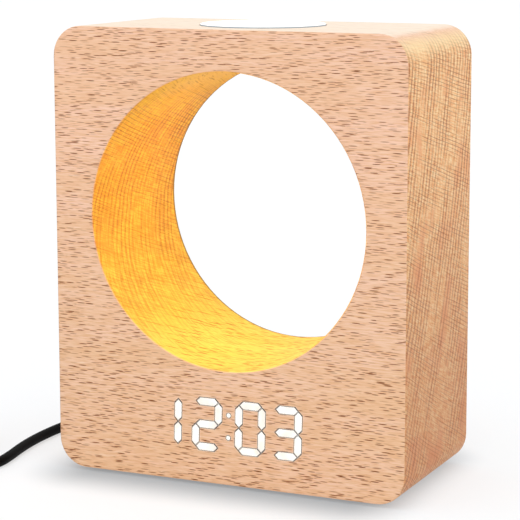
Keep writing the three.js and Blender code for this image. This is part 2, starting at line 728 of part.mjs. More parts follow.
const PLUG_RADIUS = 4.7;
const PLUG_LENGTH = 14;
const PLUG_ROUND = 0.8;
const RELIEF_LENGTH = 12;
const RELIEF_START_RADIUS = 3.4;
const RELIEF_END_RADIUS = 2.2;
const BARREL_REACH = 9.2; // of the barrel inside the socket
const plugFace = coverOuter + FIT_GAP;
const plugEnd = plugFace + PLUG_LENGTH;
const reliefEnd = plugEnd + RELIEF_LENGTH;
const plugProfile = [
  [0, plugFace],
  [PLUG_RADIUS - PLUG_ROUND, plugFace],
  [PLUG_RADIUS, plugFace + PLUG_ROUND],
  [PLUG_RADIUS, plugEnd - PLUG_ROUND],
  [RELIEF_START_RADIUS, plugEnd],
  [RELIEF_END_RADIUS, reliefEnd],
  [0, reliefEnd],
];
addPiece("dc_plug", turnedY(plugProfile, MEDIUM_FACETS, SOCKET_X, axisZ), "blackPlastic");

const barrelTip = socketBack - BARREL_REACH;
const barrelBoreRadius = BARREL_BORE / 2;
const barrelBoreEnd = socketBack - CUT_OVERRUN / 2;
const barrelProfile = [
  [barrelBoreRadius, barrelTip],
  [barrelRadius, barrelTip],
  [barrelRadius, plugFace],
  [0, plugFace],
  [0, barrelBoreEnd],
  [barrelBoreRadius, barrelBoreEnd],
  [barrelBoreRadius, barrelTip],
];
addPiece("dc_plug_barrel", turnedY(barrelProfile, MEDIUM_FACETS, SOCKET_X, axisZ), "steel");

// Backup cell, its holder and its door, stacked towards the back
const HOLDER_WALL = 1.1;
const HOLDER_FLOOR = 1.2;
const CONTACT_THICKNESS = 0.5;
const CONTACT_WIDTH = 5;
const CONTACT_LENGTH = 11;
const HOLDER_FOOT_WIDTH = 6;
const DOOR_HUB_RADIUS = 8;
const DOOR_RIM_RADIUS = 9.6;
const DOOR_RIM_THICKNESS = 0.8;
const DOOR_SEAT_DEPTH = 1;
const DOOR_LUG_RADIUS = 9.2;
const DOOR_LUG_WIDTH = 4;
const DOOR_PLUG_RADIUS = 5.9;
const DOOR_PLUG_REACH = 1; // of the door's plug inside the holder
const COIN_SLOT_LENGTH = 11;
const COIN_SLOT_WIDTH = 1.6;
const COIN_SLOT_DEPTH = 0.5;
const holderMouth = boardBack;
const doorPlugEnd = holderMouth - DOOR_PLUG_REACH;
const cellBack = doorPlugEnd - FIT_GAP;
const cellFront = cellBack - CELL_THICKNESS;
const contactBack = cellFront - FIT_GAP;
const contactFront = contactBack - CONTACT_THICKNESS;
const holderFront = contactFront - HOLDER_FLOOR;
const cellRadius = CELL_DIAMETER / 2;
const holderBore = cellRadius + FIT_GAP;
const holderRadius = holderBore + HOLDER_WALL;
function cellHolder() {
  const cup = cylinderY(CELL_X, axisZ, holderRadius, holderFront, holderMouth, MEDIUM_FACETS);
  const hollow = cylinderY(CELL_X, axisZ, holderBore, contactFront, holderMouth + CUT_OVERRUN, MEDIUM_FACETS);
  const foot = box(
    [CELL_X - HOLDER_FOOT_WIDTH / 2, holderFront, boardTop],
    [CELL_X + HOLDER_FOOT_WIDTH / 2, holderMouth, axisZ],
  );
  return cut(join(cup, foot), hollow);
}
addPiece("cell_holder", cellHolder(), "whitePlastic");
addPiece(
  "cell_contact",
  boxY(CELL_X, axisZ, CONTACT_WIDTH, CONTACT_LENGTH, contactFront, contactBack),
  "copper",
);
addPiece("coin_cell", cylinderY(CELL_X, axisZ, cellRadius, cellFront, cellBack, MEDIUM_FACETS), "steel");

const doorRimInner = coverOuter - DOOR_RIM_THICKNESS;
function cellDoor() {
  const profile = [
    [0, doorPlugEnd],
    [DOOR_PLUG_RADIUS, doorPlugEnd],
    [DOOR_PLUG_RADIUS, doorLugInner],
    [DOOR_HUB_RADIUS, doorLugInner],
    [DOOR_HUB_RADIUS, doorRimInner],
    [DOOR_RIM_RADIUS, doorRimInner],
    [DOOR_RIM_RADIUS, coverOuter],
    [0, coverOuter],
  ];
  const disc = turnedY(profile, LARGE_FACETS, CELL_X, axisZ);
  const lugs = boxY(CELL_X, axisZ, DOOR_LUG_RADIUS * 2, DOOR_LUG_WIDTH, doorLugInner, doorLugOuter);
  const slot = boxY(
    CELL_X,
    axisZ,
    COIN_SLOT_LENGTH,
    COIN_SLOT_WIDTH,
    coverOuter - COIN_SLOT_DEPTH,
    coverOuter + CUT_OVERRUN,
  );
  return cut(join(disc, lugs), slot);
}
addPiece("cell_door", cellDoor(), "darkPlastic");

// Buttons: a switch on the board, its plunger and a cap in the rear cover
const SWITCH_WIDTH = 6;
const SWITCH_DEPTH = 3.5;
const SWITCH_CAP = 3.2; // from the axis to the switch's top
const PLUNGER_RADIUS = 1.6;
const PLUNGER_LENGTH = 1.6; // outside the switch
const PLUNGER_TAIL = 1;
const BUTTON_TRAVEL = 0.6;
const CAP_RADIUS = 3;
const CAP_FLANGE_RADIUS = 3.8;
const CAP_FLANGE_THICKNESS = 1;
const CAP_PROUD = 1;
const CAP_ROUND = 0.4;
const capFlangeBack = coverInner - FIT_GAP;
const capFront = capFlangeBack - CAP_FLANGE_THICKNESS;
const capBack = coverOuter + CAP_PROUD;
const plungerBack = capFront;
const switchBack = plungerBack - PLUNGER_LENGTH;
const switchBore = PLUNGER_RADIUS + PIN_GAP;
buttonPlaces.forEach((x, i) => {
  const body = box(
    [x - SWITCH_WIDTH / 2, switchBack - SWITCH_DEPTH, boardTop],
    [x + SWITCH_WIDTH / 2, switchBack, axisZ + SWITCH_CAP],
  );
  const hollowFront = switchBack - PLUNGER_TAIL - BUTTON_TRAVEL - FIT_GAP;
  const hollow = cylinderY(x, axisZ, switchBore, hollowFront, switchBack + CUT_OVERRUN, SMALL_FACETS);
  addPiece(`button_switch_${i + 1}`, cut(body, hollow), "steel");
  const plunger = cylinderY(x, axisZ, PLUNGER_RADIUS, switchBack - PLUNGER_TAIL, plungerBack, SMALL_FACETS);
  addPiece(`switch_plunger_${i + 1}`, plunger, "blackPlastic");
  const capProfile = [
    [0, capFront],
    [CAP_FLANGE_RADIUS, capFront],
    [CAP_FLANGE_RADIUS, capFlangeBack],
    [CAP_RADIUS, capFlangeBack],
    [CAP_RADIUS, capBack - CAP_ROUND],
    [CAP_RADIUS - CAP_ROUND, capBack],
    [0, capBack],
  ];
  addPiece(`button_cap_${i + 1}`, turnedY(capProfile, MEDIUM_FACETS, x, axisZ), "blackPlastic");
});

// Rear cover
const SOUND_HOLE_RADIUS = 0.7;
const SOUND_PITCH = 2.6;
const SOUND_STEPS = [-1, 0, 1];
function coverHoles() {
  const y0 = coverInner - CUT_OVERRUN;
  const y1 = coverOuter + CUT_OVERRUN;
  const hole = (x, z, radius, facets) => cylinderY(x, z, radius, y0, y1, facets);
  const buttons = buttonPlaces.map((x) => hole(x, axisZ, CAP_RADIUS + FIT_GAP, MEDIUM_FACETS));
  const sound = SOUND_STEPS.flatMap((across) =>
    SOUND_STEPS.map((up) =>
      hole(SOUND_X + across * SOUND_PITCH, axisZ + up * SOUND_PITCH, SOUND_HOLE_RADIUS, TINY_FACETS),
    ),
  );
  const door = hole(CELL_X, axisZ, DOOR_HUB_RADIUS + FIT_GAP, LARGE_FACETS);
  const seatFloor = coverOuter - DOOR_SEAT_DEPTH;
  const seat = cylinderY(CELL_X, axisZ, DOOR_RIM_RADIUS + FIT_GAP, seatFloor, y1, LARGE_FACETS);
  const slotHeight = 2 * (DOOR_LUG_RADIUS + FIT_GAP);
  const lugSlot = boxY(CELL_X, axisZ, DOOR_LUG_WIDTH + 2 * FIT_GAP, slotHeight, y0, y1);
  const socket = hole(SOCKET_X, axisZ, barrelRadius + FIT_GAP, MEDIUM_FACETS);
  const screws = screwPlaces.map(([x, z]) => screwShape(x, z, PIN_GAP));
  return join(...buttons, ...sound, door, seat, lugSlot, socket, ...screws);
}

// A countersunk screw, grown all round by a gap.
function screwShape(x, z, gap) {
  const profile = [
    [0, coverOuter - SCREW_LENGTH - gap],
    [SCREW_SHANK_RADIUS + gap, coverOuter - SCREW_LENGTH - gap],
    [SCREW_SHANK_RADIUS + gap, coverOuter - SCREW_HEAD_HEIGHT],
    [SCREW_HEAD_RADIUS + gap, coverOuter + gap],
    [0, coverOuter + gap],
  ];
  return turnedY(profile, SMALL_FACETS, x, z);
}

const coverPlate = plateY(coverOutline(FIT_GAP), coverInner, coverOuter);
addPiece("rear_cover", cut(coverPlate, coverHoles()), "darkPlastic");

const DRIVE_SLOT_WIDTH = 0.6;
const DRIVE_SLOT_DEPTH = 0.6;
screwPlaces.forEach(([x, z], i) => {
  const y0 = coverOuter - DRIVE_SLOT_DEPTH;
  const y1 = coverOuter + CUT_OVERRUN;
  const across = boxY(x, z, SCREW_HEAD_RADIUS + DRIVE_SLOT_WIDTH, DRIVE_SLOT_WIDTH, y0, y1);
  const upright = boxY(x, z, DRIVE_SLOT_WIDTH, SCREW_HEAD_RADIUS + DRIVE_SLOT_WIDTH, y0, y1);
  addPiece(`cover_screw_${i + 1}`, cut(screwShape(x, z, 0), across, upright), "steel");
});

// Feet
const FOOT_RADIUS = 5;
const FOOT_ROUND = 0.3;
const FOOT_SIDE_INSET = 16;
const FOOT_EDGE_INSET = 9;
const footX = blockWidth / 2 - FOOT_SIDE_INSET;
const footY = BLOCK_DEPTH / 2 - FOOT_EDGE_INSET;
const footProfile = [
  [0, 0],
  [FOOT_RADIUS - FOOT_ROUND, 0],
  [FOOT_RADIUS, FOOT_ROUND],
  [FOOT_RADIUS, woodBottom],
  [0, woodBottom],
];
const footPlaces = [
  [-footX, -footY],
  [footX, -footY],
  [-footX, footY],
  [footX, footY],
];
footPlaces.forEach(([x, y], i) => {
  addPiece(`foot_${i + 1}`, turnedZ(footProfile, MEDIUM_FACETS, x, y), "rubber");
});

// Lamp lead, along the channel in the back and down to the main board
const LEAD_ARC_POINTS = 9;
const LEAD_STEPS = 44;
const LEAD_SIDES = 6;
const LEAD_TURN = 3; // the lead turns into the channel within this length
const TUBE_SIDES = 8;
function leadRoute() {
  const y = (channelBottom + coverInner) / 2;
  const underShelf = shelfBottom - 2 * FIT_GAP - LAMP_LEAD_DIAMETER / 2;
  const points = [
    [0, LEAD_PLUG_Y + LEAD_PLUG_DEPTH + FIT_GAP, underShelf],
    [0, housingRadius, underShelf],
    [0, channelBottom - LAMP_LEAD_DIAMETER, underShelf + FIT_GAP],
    [LEAD_TURN / 4, y - LEAD_TURN / 4, leadZ],
    [LEAD_TURN, y, leadZ],
  ];
  for (let i = 1; i <= LEAD_ARC_POINTS; i++) {
    const angle = Math.PI / 2 + ((CHANNEL_END - Math.PI / 2) * i) / LEAD_ARC_POINTS;
    points.push([channelRadius * Math.cos(angle), y, boreCentre + channelRadius * Math.sin(angle)]);
  }
  const toRoof = (channelTurn.y - bayTop) / -channelSlope.y;
  const roof = channelTurn.clone().addScaledVector(channelSlope, toRoof);
  const socketTop = boardTop + LEAD_SOCKET_HEIGHT;
  points.push(
    [roof.x, y, roof.y],
    [roof.x - LEAD_TURN, y - LEAD_TURN, (roof.y + axisZ + SWITCH_CAP) / 2],
    [LEAD_SOCKET_X, LEAD_SOCKET_Y + LEAD_PLUG_WIDTH, axisZ + SWITCH_CAP + LAMP_LEAD_DIAMETER],
    [LEAD_SOCKET_X, LEAD_SOCKET_Y, (axisZ + SWITCH_CAP + socketTop) / 2],
    [LEAD_SOCKET_X, LEAD_SOCKET_Y, socketTop + FIT_GAP],
  );
  return points;
}
const lampLead = tube(curveThrough(leadRoute()), LAMP_LEAD_DIAMETER, LEAD_SIDES, LEAD_STEPS);
addPiece("lamp_lead", lampLead, "whitePlastic");

// Power cord: from the plug down to the ground, past the block's left side and into a coil
const CORD_LIFT = 0.05; // it lies this far above the ground
const RUN_STEPS = 52;
const TAIL_STEPS = 8;
const cordZ = CORD_DIAMETER / 2 + CORD_LIFT;
const cordMiddle = [
  [-33, 59, 20.9],
  [-33.4, 64.5, 19],
  [-35.4, 69.8, 14.8],
  [-39.4, 73.4, 9.6],
  [-45.4, 74.8, 5],
  [-52.6, 73.9, 2.4],
  [-60, 70.6, 1.8],
  [-67, 64.6, 1.8],
  [-73, 56.4, 1.8],
  [-78, 46.4, 1.8],
  [-82, 34.6, 1.8],
  [-84.8, 22, 1.8],
  [-86.3, 10, 1.8],
  [-86.6, -1, 1.8],
  [-86, -12, 1.8],
  [-84.6, -22, 1.8],
  [-82.9, -31, 1.8],
  [-82.2, -38.6, 1.8],
  [-83.6, -46, 1.8],
  [-87.8, -52.6, 1.8],
  [-94.1, -57.4, 1.8],
  [-101.6, -60.2, 1.8],
  [-109.4, -61.2, 1.8],
];

// The spare length is a flat coil: two layers that spiral in and out again
const COIL_X = -124;
const COIL_Y = -33;
const COIL_OUTER_RADIUS = 27; // to the middle of the outermost turn
const COIL_PITCH = 4;
const COIL_STEPS = 24; // in each turn
const COIL_EXTRA_STEPS = 11;
const COIL_TURNS = 3 + COIL_EXTRA_STEPS / COIL_STEPS; // in each layer
const COIL_ENTRY = THREE.MathUtils.degToRad(-90);
const COIL_SIDES = 6;
const CLIMB_SHARE = 0.5; // of a turn, in which the cord climbs to the upper layer

function coilPoint(turn) {
  const inward = Math.min(turn, 2 * COIL_TURNS - turn);
  const radius = COIL_OUTER_RADIUS - COIL_PITCH * inward;
  const angle = COIL_ENTRY - 2 * Math.PI * turn;
  const rise = THREE.MathUtils.smoothstep(turn, COIL_TURNS - CLIMB_SHARE / 2, COIL_TURNS + CLIMB_SHARE / 2);
  return new THREE.Vector3(
    COIL_X + radius * Math.cos(angle),
    COIL_Y + radius * Math.sin(angle),
    cordZ + COIL_PITCH * rise,
  );
}

function coilRoute() {
  const count = Math.round(2 * COIL_TURNS * COIL_STEPS);
  const turns = Array.from({ length: count + 1 }, (_, i) => coilPoint((2 * COIL_TURNS * i) / count));
  const before = turns[0].clone().sub(turns[1]).setLength(CORD_DIAMETER).add(turns[0]);
  const after = turns[count].clone().sub(turns[count - 1]).setLength(CORD_DIAMETER).add(turns[count]);
  return [before, ...turns, after];
}

// The clear space left between turns, measured between points at least half a turn apart.
function leastGap(points) {
  let least = Infinity;
  for (let i = 0; i < points.length; i++) {
    for (let j = i + COIL_STEPS / 2; j < points.length; j++) {
      least = Math.min(least, points[i].distanceTo(points[j]) - CORD_DIAMETER);
    }
  }
  return least;
}

// A tube through points that lie nearly level, with flat ends.
function levelTube(points, diameter, sides) {
  const up = new THREE.Vector3(0, 0, 1);
  const position = [];
  const index = [];
  points.forEach((point, i) => {
    const next = points[Math.min(i + 1, points.length - 1)];
    const last = points[Math.max(i - 1, 0)];
    const tangent = next.clone().sub(last).normalize();
    const side = tangent.clone().cross(up).normalize();
    const lift = side.clone().cross(tangent);
    for (let k = 0; k < sides; k++) {
      const angle = (k / sides) * 2 * Math.PI;
      const corner = point.clone();
      corner.addScaledVector(side, (Math.cos(angle) * diameter) / 2);
      corner.addScaledVector(lift, (Math.sin(angle) * diameter) / 2);
      position.push(...corner);
    }
  });
  for (let i = 0; i + 1 < points.length; i++) {
    for (let k = 0; k < sides; k++) {
      const a = i * sides + k;
      const b = i * sides + ((k + 1) % sides);
      index.push(a, a + sides, b, b, a + sides, b + sides);
    }
  }
  const lastRing = (points.length - 1) * sides;
  for (let k = 1; k + 1 < sides; k++) {
    index.push(0, k, k + 1);
    index.push(lastRing, lastRing + k + 1, lastRing + k);
  }
  const geometry = new THREE.BufferGeometry();
  geometry.setAttribute("position", new THREE.Float32BufferAttribute(position, 3));
  geometry.setIndex(index);
  return geometry;
}

const coilPoints = coilRoute();
console.log(`least gap between the coil's turns: ${leastGap(coilPoints).toFixed(2)} mm`);

// USB plug lying on the coil and pointing back
const USB_ASIDE = 11; // its middle lies this far left of the coil's
const USB_AHEAD = 14; // its strain relief starts this far in front of the coil's middle
const USB_RELIEF_LENGTH = 10;
const USB_BODY_WIDTH = 15.6;
const USB_BODY_HEIGHT = 8;
const USB_BODY_LENGTH = 26;
const USB_BODY_ROUND = 2.4;
const USB_SHELL_WIDTH = 12;
const USB_SHELL_HEIGHT = 4.5;
const USB_SHELL_LENGTH = 12;
const USB_SHELL_WALL = 0.4;
const USB_TONGUE_WIDTH = 10.4;
const USB_TONGUE_HEIGHT = 1.9;
const USB_TONGUE_SHORT = 0.6; // the tongue ends this far inside the mouth
const usbX = COIL_X - USB_ASIDE;
const usbTailY = COIL_Y - USB_AHEAD;
const usbZ = cordZ + COIL_PITCH + CORD_DIAMETER / 2 + FIT_GAP + USB_BODY_HEIGHT / 2;
const usbBodyFront = usbTailY + USB_RELIEF_LENGTH;
const usbBodyEnd = usbBodyFront + USB_BODY_LENGTH;
const usbShellEnd = usbBodyEnd + USB_SHELL_LENGTH;

// A point straight out of the coil's end, at a distance from its face.
function beyondCoil(end, inner, distance) {
  return end.clone().sub(inner).setLength(distance).add(end).toArray();
}
const [coilStart, coilStartInner] = coilPoints;
const [coilEndInner, coilEnd] = coilPoints.slice(-2);
const cordRun = [
  [SOCKET_X, reliefEnd + FIT_GAP, axisZ],
  ...cordMiddle,
  beyondCoil(coilStart, coilStartInner, FIT_GAP + CORD_DIAMETER),
  beyondCoil(coilStart, coilStartInner, FIT_GAP),
];
// Sideways and forward from the coil's middle, and up from the ground
const tailMiddle = [
  [4, -30, 6.2],
  [-0.2, -30.5, 7.3],
  [-4.4, -29.4, 8.7],
  [-7.8, -26.8, 10],
  [-10.1, -23.2, 11],
  [-10.9, -19, 11.6],
];
const cordTail = [
  beyondCoil(coilEnd, coilEndInner, FIT_GAP),
  beyondCoil(coilEnd, coilEndInner, FIT_GAP + CORD_DIAMETER),
  ...tailMiddle.map(([x, y, z]) => [COIL_X + x, COIL_Y + y, z]),
  [usbX, usbTailY - FIT_GAP, usbZ],
];
const cordRunTube = tube(curveThrough(cordRun), CORD_DIAMETER, TUBE_SIDES, RUN_STEPS);
const cordTailTube = tube(curveThrough(cordTail), CORD_DIAMETER, TUBE_SIDES, TAIL_STEPS);
addPiece("power_cord_run", cordRunTube, "cordJacket");
addPiece("power_cord_coil", solid(levelTube(coilPoints, CORD_DIAMETER, COIL_SIDES)), "cordJacket");
addPiece("power_cord_tail", cordTailTube, "cordJacket");

function usbPlug() {
  const halfWidth = USB_BODY_WIDTH / 2;
  const halfHeight = USB_BODY_HEIGHT / 2;
  const outline = roundedRectangle(
    usbX - halfWidth,
    usbZ - halfHeight,
    usbX + halfWidth,
    usbZ + halfHeight,
    USB_BODY_ROUND,
  );
  const relief = [
    [0, usbTailY],
    [RELIEF_END_RADIUS, usbTailY],
    [RELIEF_START_RADIUS, usbBodyFront],
    [RELIEF_START_RADIUS, usbBodyFront + CUT_OVERRUN],
    [0, usbBodyFront + CUT_OVERRUN],
  ];
  return join(plateY(outline, usbBodyFront, usbBodyEnd), turnedY(relief, MEDIUM_FACETS, usbX, usbZ));
}
addPiece("usb_plug", usbPlug(), "blackPlastic");

function usbShell() {
  const hollowWidth = USB_SHELL_WIDTH - 2 * USB_SHELL_WALL;
  const hollowHeight = USB_SHELL_HEIGHT - 2 * USB_SHELL_WALL;
  const floor = usbBodyEnd + CUT_OVERRUN;
  const outer = boxY(usbX, usbZ, USB_SHELL_WIDTH, USB_SHELL_HEIGHT, usbBodyEnd, usbShellEnd);
  const hollow = boxY(usbX, usbZ, hollowWidth, hollowHeight, floor, usbShellEnd + CUT_OVERRUN);
  const tongueZ = usbZ + (hollowHeight - USB_TONGUE_HEIGHT) / 2;
  const tongue = boxY(
    usbX,
    tongueZ,
    USB_TONGUE_WIDTH,
    USB_TONGUE_HEIGHT,
    usbBodyEnd,
    usbShellEnd - USB_TONGUE_SHORT,
  );
  return join(cut(outer, hollow), tongue);
}
addPiece("usb_plug_shell", usbShell(), "steel");

export default clock;
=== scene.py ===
"""A wooden digital alarm clock with a round lamp opening, dressed for the render in Blender 4.5.

Metres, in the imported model's frame: the display faces -Y, the ground is z = 0. Finishes are made
of nodes that read the object's own coordinates, so they stay on it from every side.
"""

import json
import math

import bpy
from mathutils import Matrix, Vector


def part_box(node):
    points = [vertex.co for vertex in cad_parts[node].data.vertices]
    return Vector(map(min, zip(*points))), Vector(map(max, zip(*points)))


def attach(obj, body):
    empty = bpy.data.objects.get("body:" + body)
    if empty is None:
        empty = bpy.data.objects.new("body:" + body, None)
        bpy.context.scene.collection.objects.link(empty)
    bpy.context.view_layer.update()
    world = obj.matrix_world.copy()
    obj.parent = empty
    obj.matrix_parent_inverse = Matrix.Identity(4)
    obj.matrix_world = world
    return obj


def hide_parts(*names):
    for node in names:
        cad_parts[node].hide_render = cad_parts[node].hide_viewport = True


MM = 0.001

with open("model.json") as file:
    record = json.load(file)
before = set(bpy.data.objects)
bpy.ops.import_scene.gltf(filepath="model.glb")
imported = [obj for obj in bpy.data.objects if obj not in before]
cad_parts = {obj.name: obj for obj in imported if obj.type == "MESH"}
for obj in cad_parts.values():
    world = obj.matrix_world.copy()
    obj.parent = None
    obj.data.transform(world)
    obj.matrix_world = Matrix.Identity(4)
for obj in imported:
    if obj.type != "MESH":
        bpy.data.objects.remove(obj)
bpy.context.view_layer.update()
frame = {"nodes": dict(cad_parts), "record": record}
nodes = frame["nodes"]

# Camera, fitted to the block's edges in the photograph
CAMERA_PLACE = Vector((0.27409, -0.59499, 0.18667))
CAMERA_YAW = math.radians(23.954)
CAMERA_PITCH = math.radians(8.932)
CAMERA_ROLL = math.radians(0.007)
CAMERA_LENS = 136.04
CAMERA_SENSOR = 36
CAMERA_SHIFT = (-0.0577, -0.0673)


def make_camera():
    forward = Vector((
        -math.sin(CAMERA_YAW) * math.cos(CAMERA_PITCH),
        math.cos(CAMERA_YAW) * math.cos(CAMERA_PITCH),
        -math.sin(CAMERA_PITCH),
    ))
    level = Vector((math.cos(CAMERA_YAW), math.sin(CAMERA_YAW), 0))
    upright = level.cross(forward)
    right = math.cos(CAMERA_ROLL) * level + math.sin(CAMERA_ROLL) * upright
    up = math.cos(CAMERA_ROLL) * upright - math.sin(CAMERA_ROLL) * level
    turn = Matrix((right, up, -forward)).transposed()
    lens = bpy.data.cameras.new("camera")
    lens.lens = CAMERA_LENS
    lens.sensor_width = CAMERA_SENSOR
    lens.shift_x, lens.shift_y = CAMERA_SHIFT
    camera = bpy.data.objects.new("camera", lens)
    camera.matrix_world = Matrix.Translation(CAMERA_PLACE) @ turn.to_4x4()
    bpy.context.scene.collection.objects.link(camera)
    bpy.context.scene.camera = camera


make_camera()

# The power lead follows the same route as its solids. Its points are in millimetres.
CORD_DIAMETER = 3.5 * MM
CORD_SIDE_STEPS = 4
CORD_ROUTE_STEPS = 5
CORD_EXIT = (-33, 55, 21)
CORD_RUN = [
    (-33, 59, 20.9), (-33.4, 64.5, 19), (-35.4, 69.8, 14.8), (-39.4, 73.4, 9.6),
    (-45.4, 74.8, 5), (-52.6, 73.9, 2.4), (-60, 70.6, 1.8), (-67, 64.6, 1.8), (-73, 56.4, 1.8),
    (-78, 46.4, 1.8), (-82, 34.6, 1.8), (-84.8, 22, 1.8), (-86.3, 10, 1.8), (-86.6, -1, 1.8),
    (-86, -12, 1.8), (-84.6, -22, 1.8), (-82.9, -31, 1.8), (-82.2, -38.6, 1.8),
    (-83.6, -46, 1.8), (-87.8, -52.6, 1.8), (-94.1, -57.4, 1.8), (-101.6, -60.2, 1.8),
    (-109.4, -61.2, 1.8), (-116.8, -61.1, 1.8), (-120.4, -60.6, 1.8),
]
CORD_TAIL = [
    (-113.3, -58.7, 5.8), (-116.2, -61, 5.8), (-120, -63, 6.2), (-124.2, -63.5, 7.3),
    (-128.4, -62.4, 8.7), (-131.8, -59.8, 10), (-134.1, -56.2, 11), (-134.9, -52, 11.6),
    (-135, -47.2, 11.85),
]
CORD_GROUND = 1.8  # the height of its middle where it lies on the ground
COIL_MIDDLE = (-124, -33)
COIL_OUTER_RADIUS = 27
COIL_PITCH = 4
COIL_STEPS = 24
COIL_TURNS = 3 + 11 / COIL_STEPS
COIL_ENTRY = math.radians(-90)
CLIMB_TURNS = 0.5  # over which the coil climbs from its lower layer to its upper one


def smoothstep(value, low, high):
    share = min(max((value - low) / (high - low), 0), 1)
    return share * share * (3 - 2 * share)


def coil_point(turn):
    """A place on the flat coil of two layers, which spirals in below and out again above."""
    inward = min(turn, 2 * COIL_TURNS - turn)
    radius = COIL_OUTER_RADIUS - COIL_PITCH * inward
    angle = COIL_ENTRY - 2 * math.pi * turn
    rise = smoothstep(turn, COIL_TURNS - CLIMB_TURNS / 2, COIL_TURNS + CLIMB_TURNS / 2)
    return (
        COIL_MIDDLE[0] + radius * math.cos(angle),
        COIL_MIDDLE[1] + radius * math.sin(angle),
        CORD_GROUND + COIL_PITCH * rise,
    )


def cord_route():
    count = round(2 * COIL_TURNS * COIL_STEPS)
    coil = [coil_point(2 * COIL_TURNS * i / count) for i in range(count + 1)]
    return [Vector(point) * MM for point in [CORD_EXIT, *CORD_RUN, *coil, *CORD_TAIL]]


def make_cord():
    route = cord_route()
    curve = bpy.data.curves.new("power_cord", "CURVE")
    curve.dimensions = "3D"
    curve.bevel_depth = 1  # each point's radius sets the thickness
    curve.bevel_resolution = CORD_SIDE_STEPS
    curve.resolution_u = CORD_ROUTE_STEPS
    curve.use_fill_caps = True
    spline = curve.splines.new("BEZIER")
    spline.bezier_points.add(len(route) - 1)
    for place, point in zip(route, spline.bezier_points):
        point.co = place
        point.radius = CORD_DIAMETER / 2
        point.handle_left_type = point.handle_right_type = "AUTO"
    cord = bpy.data.objects.new("power_cord", curve)
    bpy.context.scene.collection.objects.link(cord)
    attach(cord, "clock")
    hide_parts("power_cord_run", "power_cord_coil", "power_cord_tail")
    return cord


cord = make_cord()


def srgb(red, green, blue):
    """A colour as a picture shows it, 0 to 255, as Blender's linear colour."""

    def linear(level):
        share = level / 255
        return share / 12.92 if share <= 0.04045 else ((share + 0.055) / 1.055) ** 2.4

    return (linear(red), linear(green), linear(blue), 1)


# The Mix node's colour sockets, whose names other sockets share
MIX_FIRST_COLOUR = 6
MIX_SECOND_COLOUR = 7
MIX_RESULT_COLOUR = 2
BEVEL_SAMPLES = 4
EDGE_LIKENESS = (0.99, 0.8)  # of the rounded and the true normal, on flat ground and on an edge


